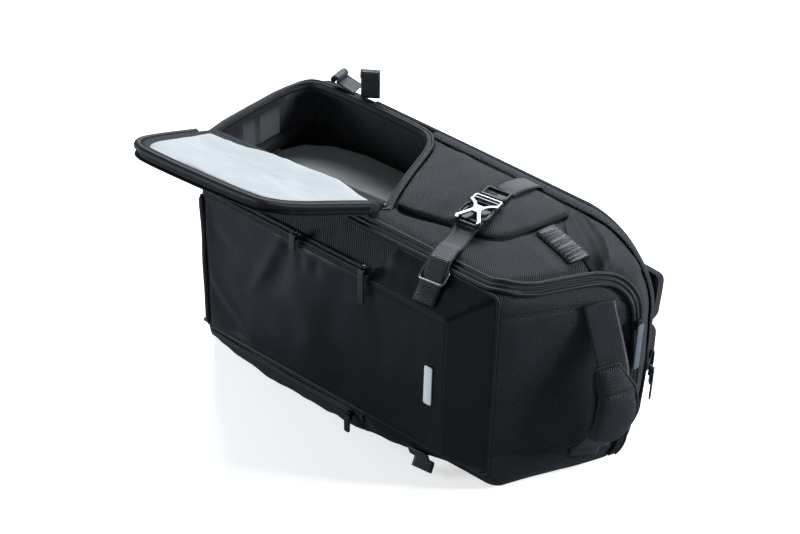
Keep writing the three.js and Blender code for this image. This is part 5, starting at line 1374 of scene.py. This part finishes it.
def flat_strap(name, path, frame_, width, thickness, finish, slot, nodes=(), count=120, upward=1, shape=None,
               smooth_path=True, shift=0.0):
    """Webbing along a path of (along, height) rows in a strap frame."""
    at, across, along = frame_
    rows = spline(path, count) if smooth_path else resampled(path, count)
    points = at + across * shift + rows[:, :1] * along + rows[:, 1:2] * np.array([0, 0, 1.0])
    out = np.cross(across, directions(points)) * upward
    return sweep(name, points, out, strap_profile(width, thickness, 10), finish, slot, nodes=nodes,
                 shape=shape), points, out


def strap_bed(x, y):
    if y >= 0:
        return float(upper_height(x, y))
    return float(on_slope(x, -y / POCKET_OUT, 1)[0][2])


SIDE_FRAME = strap_frame(0.657 * LENGTH, 0.382 * BODY_DEPTH, 6.8)
STRAP_RUN = [(0.29, 7.4), (0.25, 7.2), (0.19, 4.2), (0.13, 4.0), (0.08, 6.4), (0.03, 8.0), (0.0, 9.6)]
SLOPE_RUN = [(0.12, 10.0), (0.35, 7.0), (0.6, 4.4), (0.95, 2.8)]
LOWER_RUN = [(0.93, 3.0), (0.8, 3.2), (0.62, 3.2), (0.5, 4.4), (0.52, 9.0), (0.6, 15.0), (0.66, 19.5)]


def run_at(depth, lift, side=1):
    at, across, along = SIDE_FRAME
    far = (depth - at[1]) / along[1]
    x = at[0] + far * along[0]
    return far, strap_bed(x, depth) + lift if side > 0 else float(on_slope(x, -depth / POCKET_OUT, -1)[0][2]) - lift


side_run = [run_at(y * BODY_DEPTH, lift) for y, lift in STRAP_RUN] + [run_at(-out * POCKET_OUT, lift) for out,
                                                                      lift in SLOPE_RUN]
_, strap_points, strap_out = flat_strap("side_strap_webbing", side_run, SIDE_FRAME, 25, 1.9, WEBBING_CLOTH,
                                        "webbing", nodes=["side_strap"],
                                        count=150, upward=-1)
lower_run = [run_at(-out * POCKET_OUT, lift, -1) for out, lift in LOWER_RUN]
flat_strap("lower_strap_webbing", lower_run, SIDE_FRAME, 25, 1.9, WEBBING_CLOTH, "webbing",
           nodes=["lower_side_strap"], count=70)
stitch_row = strap_points[10:34]
for offset in (-7.5, 7.5):
    stitches("side_strap_stitches_" + ("left" if offset < 0 else "right"),
             stitch_row + SIDE_FRAME[1] * offset + strap_out[10:34] * 0.95,
             strap_out[10:34], slot="webbing", thick=0.36)

# %% Wire ring on the strap
far_along, far_high = run_at(-0.12 * POCKET_OUT, 10.0)
near_along, near_high = run_at(-0.55 * POCKET_OUT, 4.9)
WIRE = 1.1
rise = 1.7 * (0.9 + WIRE + 0.3)
ring_middle = np.array([(far_along + near_along) / 2, (far_high + near_high) / 2])
ring_way = np.array([near_along - far_along, near_high - far_high + 2 * rise])
ring_long = np.linalg.norm(ring_way)
ring_way = ring_way / ring_long
half_a, half_b, bend = (25 + 2 * WIRE + 1.2) / 2, ring_long / 2, 4.0
ring_2d = []
for sx, sy, start in ((1, 1, 0), (-1, 1, 90), (-1, -1, 180), (1, -1, 270)):
    for a in np.radians(start + np.linspace(0, 90, 8)):
        ring_2d.append((sx * (half_a - bend) + bend * math.cos(a), sy * (half_b - bend) + bend * math.sin(a)))
ring_2d = resampled(np.array(ring_2d), 96, closed=True)
at_, across_, along_ = SIDE_FRAME
ring_axis = along_ * ring_way[0] + np.array([0, 0, ring_way[1]])
ring_points = at_ + along_ * ring_middle[0] + np.array([0, 0, ring_middle[1]]) + ring_2d[:,
    :1] * across_ + ring_2d[:, 1:] * ring_axis
ring_up = np.tile(np.cross(across_, ring_axis), (len(ring_points), 1))
sweep("strap_wire_ring", ring_points, ring_up, circle_profile(WIRE + 0.15, 12), SILVER_METAL, "silver_metal",
      closed=True, nodes=["strap_ring"])

# %% Fold of webbing behind the buckle
ANCHOR = strap_frame(0.66 * LENGTH, 0.77 * BODY_DEPTH, -4)
bed_ = [float(upper_height(SIDE_FRAME[0][0] + a * 17, SIDE_FRAME[0][1] + b * 48)) for a in (-1, 0, 1) for b in (-1,
    0, 1)]
BUCKLE_SEAT = max(bed_) + 4.9


def over_panel(v, lift):
    return v, float(upper_height(ANCHOR[0][0], ANCHOR[0][1] + v)) + lift


anchor_run = [(-25, BUCKLE_SEAT + 4.5), (-15, BUCKLE_SEAT + 4.5), over_panel(-2.5, 9.2), over_panel(10, 7.4),
              over_panel(18.8, 5.0), over_panel(25, 1.6)]
_, anchor_points, anchor_out = flat_strap("anchor_webbing", anchor_run, ANCHOR, 25, 2.0, WEBBING_CLOTH, "webbing",
                                          nodes=["strap_anchor"], count=90)
print("straps laid, buckle seat", round(BUCKLE_SEAT, 1))

# %% [markdown]
# ## Hard parts
# The ladder locks, the zip parts and the plate are moulded or cast. Their solids have the right shape already,
# so a copy of each gets rounded edges, which is what makes small hard parts catch the light.

# %% Rounded copies of hard solids
def rounded_copy(node, name, radius, finish, steps=2):
    """A copy of a CAD node's mesh with its edges rounded, in a new finish."""
    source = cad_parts[node]
    mesh = source.data.copy()
    mesh.materials.clear()
    mesh.materials.append(finish)
    made = bpy.data.objects.new(name, mesh)
    bpy.context.scene.collection.objects.link(made)
    work = bmesh.new()
    work.from_mesh(mesh)
    bmesh.ops.remove_doubles(work, verts=work.verts, dist=1e-6)
    bmesh.ops.dissolve_limit(work, angle_limit=math.radians(1.0), verts=work.verts, edges=work.edges)
    work.to_mesh(mesh)
    work.free()
    bevel = made.modifiers.new("rounding", "BEVEL")
    bevel.width, bevel.segments, bevel.limit_method = radius / 1000, steps, "ANGLE"
    bevel.angle_limit = math.radians(30)
    bevel.harden_normals = False
    apply_modifiers(made)
    made.data.polygons.foreach_set("use_smooth", [True] * len(made.data.polygons))
    work = bmesh.new()
    work.from_mesh(made.data)
    for e in work.edges:
        e.smooth = e.calc_face_angle(0) < math.radians(40)
    work.to_mesh(made.data)
    work.free()
    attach(made, "root")
    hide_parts(node)
    return made


rounded_copy("label_plate", "bare_name_plate", 0.35, PLATE_METAL)
for side in ("upper", "lower"):
    rounded_copy("ladder_lock_" + side, "ladder_lock_frame_" + side, 0.8, BLACK_PLASTIC)
    rounded_copy("back_slider_" + side, "back_slider_cast_" + side, 0.7, SLIDER_METAL)
    rounded_copy("back_tab_" + side, "back_pull_" + side, 0.7, PULL_RUBBER)
for which in ("upper", "middle", "lower"):
    rounded_copy("pocket_slider_" + which, "pocket_slider_cast_" + which, 0.7, SLIDER_METAL)
    rounded_copy("pocket_tab_" + which, "pocket_pull_" + which, 0.7, PULL_RUBBER)
rounded_copy("main_slider", "main_slider_cast", 0.7, SLIDER_METAL)
rounded_copy("main_tab", "main_pull", 0.7, PALE_RUBBER)
rounded_copy("base_tab", "base_cloth_tab", 0.6, WEBBING_CLOTH)

# %% [markdown]
# ## The side release buckle
# The buckle is one black moulding in another, with a metal cover on top. Each part is a set of bars that run
# into each other. The bars are tubes with a flattened section, and a fine voxel remesh melts them into one
# casting with soft inner corners, as a mould would make it.

# %% Bars melted into a casting
def casting(name, bars, finish, slot, node, grain=0.55):
    """One casting from bars: each has points (across, along, up) in the buckle's seat, a width and a height."""
    at, across, along = SIDE_FRAME
    points, faces = [], []
    for route, wide, high in bars:
        route = np.asarray(route, float)
        line = spline(route, 24) if len(route) > 2 else resampled(route, 12)
        way = directions(line)
        beside = np.cross(way, (0, 0, 1.0))
        beside /= np.linalg.norm(beside, axis=1, keepdims=True)
        a = np.linspace(0, 2 * np.pi, 16, endpoint=False)
        section = np.column_stack([np.sign(np.cos(a)) * np.abs(np.cos(a)) ** 0.5 * wide / 2,
                                   np.sign(np.sin(a)) * np.abs(np.sin(a)) ** 0.5 * high / 2])
        tube = line[:, None] + beside[:, None] * section[None, :, :1] + section[None, :, 1:] * np.array([0, 0, 1.0])
        base = sum(len(p) for p in points)
        flat = tube.reshape(-1, 3)
        points.append(at + flat[:, :1] * across + flat[:,
                                                       1:2] * along + (flat[:, 2:] + BUCKLE_SEAT) * np.array([0, 0,
                                                           1.0]))
        faces += grid_faces(len(line), 16, close_columns=True, start=base)
        faces += [[base + i for i in range(16)][::-1], [base + (len(line) - 1) * 16 + i for i in range(16)]]
    made = new_piece(name, np.vstack(points), faces, finish, slot, nodes=[node])
    work = bmesh.new()
    work.from_mesh(made.data)
    bmesh.ops.recalc_face_normals(work, faces=work.faces)
    work.to_mesh(made.data)
    work.free()
    melt = made.modifiers.new("melt", "REMESH")
    melt.mode, melt.voxel_size = "VOXEL", grain / 1000
    soften = made.modifiers.new("soften", "SMOOTH")
    soften.factor, soften.iterations = 0.5, 3
    apply_modifiers(made)
    made.data.polygons.foreach_set("use_smooth", [True] * len(made.data.polygons))
    print(name, len(made.data.polygons), "faces")
    return made


# %% The buckle's cover, frame and plug
COVER_HIGH = 7.6
cover_bars = [([(0, -7, COVER_HIGH), (0, 6, COVER_HIGH)], 12.5, 2.4)]
frame_bars = [([(-13.5, -22, 2.4), (-13.5, 22, 2.4)], 3, 4.4), ([(13.5, -22, 2.4), (13.5, 22, 2.4)], 3, 4.4),
              ([(-13.5, -22, 2.2), (13.5, -22, 2.2)], 3.4, 4), ([(-13.5, 15.5, 3.2), (13.5, 15.5, 3.2)], 2.6, 4.6),
              ([(-12, -2, 1.4), (12, -2, 1.4)], 26, 1.8)]
for side_sign in (-1, 1):
    cover_bars += [([(3.0 * side_sign, 0, COVER_HIGH), (6.5 * side_sign, -9, COVER_HIGH),
                     (13.8 * side_sign, -21.5, COVER_HIGH - 0.8)], 5.0, 2.6),
                   ([(3.0 * side_sign, 0, COVER_HIGH), (8.0 * side_sign, 8, COVER_HIGH),
                     (15.2 * side_sign, 13.5, COVER_HIGH - 0.3)], 4.8, 2.6),
                   ([(15.2 * side_sign, 12.8, COVER_HIGH - 0.3), (15.2 * side_sign, 23.2, COVER_HIGH - 0.6)], 3.0,
                    2.8),
                   ([(13.8 * side_sign, -22.4, COVER_HIGH - 1.0), (10.6 * side_sign, -22.8, COVER_HIGH - 1.4)], 3.4,
                    3.0)]
    frame_bars += [([(12.5 * side_sign, 10, 5.0), (16.2 * side_sign, 2, 5.0), (15.6 * side_sign, -9, 4.8),
                     (11.5 * side_sign, -15, 4.4)], 2.2, 3.6)]
cover_bars += [([(-15.2, 23.2, COVER_HIGH - 0.5), (15.2, 23.2, COVER_HIGH - 0.5)], 2.8, 2.8),
               ([(-14.2, 18.9, COVER_HIGH - 0.9), (14.2, 18.9, COVER_HIGH - 0.9)], 2.0, 2.2)]
plug_bars = [([(-13.2, 29, 4.4), (13.2, 29, 4.4)], 5.4, 7.2), ([(-13.6, 29, 3.8), (-13.6, 46, 3.4)], 3.2, 5.4),
             ([(13.6, 29, 3.8), (13.6, 46, 3.4)], 3.2, 5.4), ([(-13.2, 45, 3.6), (13.2, 45, 3.6)], 3.6, 5.2),
             ([(-12, 36, 2.2), (12, 36, 2.2)], 15, 2.4)]
casting("buckle_cover_plate", cover_bars, SILVER_METAL, "silver_metal", "buckle_cover")
casting("buckle_frame", frame_bars, BLACK_PLASTIC, "black_plastic", "buckle_socket")
casting("buckle_prongs", plug_bars, BLACK_PLASTIC, "black_plastic", "buckle_plug")

# %% [markdown]
# ## The grab handle
# Webbing sewn to the end carries a padded sleeve, the grip. The hand goes behind it, so it stands off the skin
# in a slack arch.

# %% Handle webbing and grip
HANDLE_Y = 0.475 * BODY_DEPTH
HANDLE_RUN = np.array([(0.05, 0.83), (0.05, 0.795), (0.27, 0.74), (0.52, 0.68), (0.76, 0.61), (0.88, 0.55),
                       (1, 0.48), (1.04, 0.41),
                       (0.96, 0.33), (0.72, 0.26), (0.42, 0.205), (0.05, 0.165), (0.05, 0.13)])
slope_ = np.array([float(end_reach(HANDLE_Y + 18.6, MID) - end_reach(HANDLE_Y - 18.6, MID)), 37.2])
slope_ /= np.linalg.norm(slope_)
handle_at = np.array([float(end_reach(HANDLE_Y, MID)), HANDLE_Y, MID])
handle_turn = np.array(Matrix.Rotation(math.atan2(slope_[1], slope_[0]) - math.pi / 2, 3, "Z"))
handle_rows = [((float(end_reach(HANDLE_Y, z * WIDTH)) - handle_at[0]) * slope_[1] + 1.0 + out * 24,
                z * WIDTH - MID) for out, z in HANDLE_RUN]
handle_line = spline(handle_rows, 200)


# How the hanging handle drifts towards the pack's back: height over the floor, and distance
HANDLE_DRIFT = np.array([(38, -8), (60, -4), (85, 3), (110, 8), (140, 9), (170, 5), (205, -1), (240, -7)])


def on_handle(across, out_by, along_index):
    """Points at a station of the handle's line, moved across and out from it."""
    way = directions(handle_line)[along_index]
    p = handle_line[along_index] + np.array([-way[1], way[0]]) * out_by
    drift = np.interp(p[1] + MID, HANDLE_DRIFT[:, 0], HANDLE_DRIFT[:, 1])
    return np.array([p[0], across + drift, p[1]]) @ handle_turn.T + handle_at


web_path = np.array([on_handle(0.0, 0.0, i) for i in range(200)])
web_out = np.array([on_handle(0.0, -1.0, i) - on_handle(0.0, 0.0, i) for i in range(200)])
if (web_out @ handle_turn[:, 0]).mean() < 0:
    web_out = -web_out
sweep("handle_strap", web_path, web_out, strap_profile(34, 2.0, 12), WEBBING_CLOTH, "webbing",
      nodes=["handle_webbing"])
heights_ = handle_line[:, 1] + MID
GRIP_HIGH, GRIP_LOW = 176.0, 74.0
grip_at = np.where((heights_ <= GRIP_HIGH) & (heights_ >= GRIP_LOW))[0]
grip_path, grip_out = web_path[grip_at], web_out[grip_at]


# The grip's half widths towards either side, as shares, from its upper end (0) to its lower end (1)
GRIP_WIDE = np.array([(0, 0.25, 0.8), (0.12, 0.5, 0.95), (0.28, 0.85, 1.0), (0.45, 1.06, 1.0), (0.62, 1.12, 0.98),
                      (0.8, 1.0, 0.92),
                      (0.93, 0.8, 0.75), (1, 0.55, 0.5)])


def grip_shape(i, far, profile):
    """The sleeve's section: full in the middle, bound flat at its two edges, with a seam across near the top."""
    share = i / (len(grip_at) - 1)
    ends = min(share, 1 - share) * (GRIP_HIGH - GRIP_LOW)
    full = 0.25 + 0.75 * math.sqrt(max(1 - max(1 - ends / 10.0, 0) ** 2, 0))
    full *= 1 - 0.3 * math.exp(-((share - 0.3) / 0.022) ** 2)
    near, far_side = np.interp(share, GRIP_WIDE[:, 0], GRIP_WIDE[:, 1]), np.interp(share, GRIP_WIDE[:, 0],
        GRIP_WIDE[:, 2])
    return np.column_stack([np.where(profile[:, 0] < 0, profile[:, 0] * near, profile[:, 0] * far_side),
                            profile[:, 1] * full])


angle_ = np.linspace(0, 2 * np.pi, 28, endpoint=False)
grip_profile = np.column_stack([23.0 * np.sign(np.cos(angle_)) * np.abs(np.cos(angle_)) ** 0.6,
                                7.4 * np.sign(np.sin(angle_)) * np.abs(np.sin(angle_)) ** 0.85])
grip = sweep("handle_sleeve", grip_path, grip_out, grip_profile, TWILL_CLOTH, "twill_fabric", nodes=["handle_grip"],
             shape=grip_shape)
swell(grip, 2.0, voxel=4.0)
binding = []
for direction, column in ((1, 1), (-1, 2)):
    for k in range(0, len(grip_at), 3)[::direction]:
        share = k / (len(grip_at) - 1)
        reach_ = 23.4 * np.interp(share, GRIP_WIDE[:, 0], GRIP_WIDE[:, column]) * (-1 if column == 1 else 1)
        side_way = np.cross(directions(grip_path)[k], grip_out[k])
        binding.append(grip_path[k] + side_way / np.linalg.norm(side_way) * reach_)
binding = resampled(np.array(binding), 200, closed=True)
sweep("handle_sleeve_binding", binding, np.tile(grip_out.mean(0), (200, 1)), circle_profile(1.9, 10), TAPE_CLOTH,
      "zip_tape", closed=True)
print("handle from", handle_at.round(1))

# %% [markdown]
# ## The back
# The harness lies behind in this picture: foam pads under air mesh, two shoulder straps and their webbing.

# %% Back pads, yoke and shoulder straps
back_ring = skin(np.linspace(0, 8, 161)[:-1], np.ones(160))[:, [0, 2]]
BACK_Y = BODY_DEPTH + 0.3


def back_outline(from_x, to_x, inset, count):
    """The back's outline drawn in and cut off between two places along its length."""
    middle_ = np.array([LENGTH / 2, MID])
    way = middle_ - back_ring
    ring = back_ring + way / np.linalg.norm(way, axis=1, keepdims=True) * inset
    dense = resampled(ring, 900, closed=True)
    inside = dense[(dense[:, 0] >= from_x) & (dense[:, 0] <= to_x)]
    order = np.argsort(np.arctan2(inside[:, 1] - MID, inside[:, 0] - (from_x + to_x) / 2))
    return smooth_outline(resampled(inside[order], 60, closed=True), count, 2)


def on_back(a, b, h):
    return a, BACK_Y + h, b


def channels(points, inset):
    """Sewn air channels across a back pad."""
    p = np.column_stack([points, 0 * points[:, 0]])
    return -1.8 * np.exp(-((points[:, 1] - MID) / 5.0) ** 2) + 0.4 * ripples(p, 45, 71)


for name, low_share, high_share in (("lumbar_pad", 0.068, 0.482), ("shoulder_pad", 0.57, 0.893)):
    cushion = pad(name + "_cushion", back_outline(low_share * LENGTH, high_share * LENGTH, 9, 200), on_back, 10.4,
                  8, MESH_CLOTH, "mesh_fabric",
                  crown=0.8, extra=channels, nodes=[name])
    swell(cushion, 3.0, voxel=6.0)
yoke_half = (0.12 + 64 / WIDTH / 2) * WIDTH
yoke_ring = back_outline(0.893 * LENGTH + 2, LENGTH, 4.5, 240)
yoke_ring = yoke_ring[np.abs(yoke_ring[:, 1] - MID) < yoke_half]
yoke_ring = yoke_ring[np.argsort(np.arctan2(yoke_ring[:, 1] - MID, yoke_ring[:, 0] - yoke_ring[:, 0].mean()))]
yoke = pad("yoke_cloth", smooth_outline(resampled(yoke_ring, 40, closed=True), 160, 1), on_back, 10.2, 4,
           TWILL_CLOTH, "twill_fabric",
           nodes=["strap_yoke"])

SHOULDER = np.array([(0.952, 0.12, 0.95), (0.93, 0.122, 1), (0.84, 0.135, 1), (0.72, 0.175, 0.98),
                     (0.6, 0.215, 0.95), (0.5, 0.228, 0.85),
                     (0.43, 0.224, 0.62), (0.42, 0.223, 0.5)])
STRAP_SEAT = BACK_Y + 11.3
for side, sign in (("upper", 1), ("lower", -1)):
    line = spline(np.column_stack([SHOULDER[:, 0] * LENGTH, MID + sign * SHOULDER[:, 1] * WIDTH]), 90)
    width_at = np.interp(np.linspace(0, 1, 90), np.linspace(0, 1, len(SHOULDER)), SHOULDER[:, 2]) * 64
    way = directions(np.column_stack([line, 0 * line[:, 0]]))[:, :2]
    normal_ = np.column_stack([-way[:, 1], way[:, 0]])
    outline = np.vstack([line + normal_ * width_at[:, None] / 2, (line - normal_ * width_at[:, None] / 2)[::-1]])
    outline = smooth_outline(resampled(outline, 70, closed=True), 240, 1)
    spine = line.copy()

    def quilted(points, inset, spine=spine):
        return -1.0 * np.exp(-((inset - 8) / 1.6) ** 2) + 0.3 * ripples(np.column_stack([points, 0 * points[:, 0]]),
            40, 72)
    rows_in = np.concatenate([np.array([0, 0.12, 0.3, 0.55, 0.85]) * 5, np.arange(6, 30, 2.4)])
    made_points, made_faces = [], []
    n = len(outline)
    nearest_ = spine[np.argmin(((outline[:, None] - spine[None]) ** 2).sum(-1), axis=1)]
    half_ = np.linalg.norm(outline - nearest_, axis=1).clip(1)
    levels = []
    for inset in rows_in:
        t = np.clip(inset / half_, 0, 0.985)
        ring = outline + (nearest_ - outline) * t[:, None]
        rise_ = np.sqrt(np.clip(1 - (1 - np.clip(inset / 5, 0, 1)) ** 2, 0, 1))
        top_ = 11.4 * rise_ + quilted(ring, inset) * np.clip(inset / 5, 0, 1)
        levels.append(np.column_stack([ring[:, 0], STRAP_SEAT + 0.2 + top_, ring[:, 1]]))
    base_ = np.column_stack([outline[:, 0], np.full(n, STRAP_SEAT), outline[:, 1]])
    base_in = np.column_stack([outline[:, 0] + (nearest_ - outline)[:, 0] * 0.9, np.full(n, STRAP_SEAT),
                               outline[:, 1] + (nearest_ - outline)[:, 1] * 0.9])
    stack = np.vstack([base_in, base_] + levels)
    strap_ = new_piece("shoulder_strap_cushion_" + side, stack, grid_faces(len(levels) + 2, n, close_columns=True),
                       MESH_CLOTH, "mesh_fabric",
                       nodes=["shoulder_strap_" + side])
    work = bmesh.new()
    work.from_mesh(strap_.data)
    bmesh.ops.holes_fill(work, edges=[e for e in work.edges if e.is_boundary], sides=0)
    bmesh.ops.recalc_face_normals(work, faces=work.faces)
    work.to_mesh(strap_.data)
    work.free()
    strap_.data.polygons.foreach_set("use_smooth", [True] * len(strap_.data.polygons))
    swell(strap_, 2.0)

# %% Webbing of the harness
for side, sign in (("upper", 1), ("lower", -1)):
    origin = np.array([0.42 * LENGTH - 0.3, 0, MID + sign * 0.223 * WIDTH])
    t = math.radians(9 * sign)
    way_x, way_z = np.array([math.cos(t), 0, -math.sin(t)]), np.array([math.sin(t), 0, math.cos(t)])
    lock_from = STRAP_SEAT + 6
    base_end = 0.03 * LENGTH - origin[0]
    run = [(-6, lock_from + 1.4), (-26, lock_from + 1.4), (-42, STRAP_SEAT + 1.6),
           ((0.068 - 0.012) * LENGTH - origin[0], STRAP_SEAT + 1.6),
           (base_end + 8, BACK_Y + 1.6), (base_end, BACK_Y + 1.4)]
    rows_ = resampled(np.array(run), 120)
    rows_ = np.column_stack([smoothed(rows_[:, 0], 2), smoothed(rows_[:, 1], 3)])
    points_ = origin + rows_[:, :1] * way_x + rows_[:, 1:2] * np.array([0, 1.0, 0])
    sweep("harness_webbing_" + side, points_, np.cross(way_z, directions(points_)), strap_profile(22, 1.9, 8),
          WEBBING_CLOTH, "webbing",
          nodes=["strap_webbing_" + side])

# %% Folded tail of the harness webbing
tail_x, tail_y = 0.183 * LENGTH, 0.985 * BODY_DEPTH
tail_high = float(upper_height(tail_x, tail_y)) + 1.8
for name, turn_by, shift, roll, path in (("upper", 35, 0, -1, [(2, 0), (0, 32)]),
                                         ("lower", 98, -14, 1, [(4, 5.2), (24, 12)])):
    rows_ = list(path)
    end_at, end_high = rows_[-1]
    for i in range(13):
        a = math.radians(10 + 240 * i / 12)
        rows_.append((end_at + roll * 4.5 * (1 - math.cos(a)), end_high + 4.5 * (0.6 + math.sin(a))))
    frame_ = strap_frame(tail_x + shift, tail_y, turn_by)
    flat_strap("webbing_tail_" + name, np.array(rows_) + (0, tail_high), frame_, 22, 1.9, WEBBING_CLOTH, "webbing",
               nodes=["tail_loop_" + name], count=110)

# %% [markdown]
# ## Rows of stitches
# The end of the pack is sewn down in two rows, above and below; the pocket's seam and the side panel's back
# seam are stitched too.

# %% Stitched seams
for name, z in (("upper", 239.6), ("lower", 54.8)):
    ys = np.linspace(14, 112, 120)
    points_ = np.column_stack([end_reach(ys, z) - 0.2, ys, np.full(120, float(z))])
    outs = np.tile([0.835, -0.55, 0.0], (120, 1))
    stitches("end_stitches_" + name, points_, outs)
zs = np.linspace(58, 232, 120)
stitches("pocket_edge_stitches", np.column_stack([np.full(120, 370.5), np.full(120, -33.0), zs]),
         np.tile([0, -1.0, 0], (120, 1)), pitch=3.6,
         thick=0.34, slot="coated_fabric")
seam_xy = resampled(back_seam, 100)
seam_path, seam_up = plan_path(seam_xy, 4.6)
stitches("side_panel_stitches", seam_path, seam_up, thick=0.34)
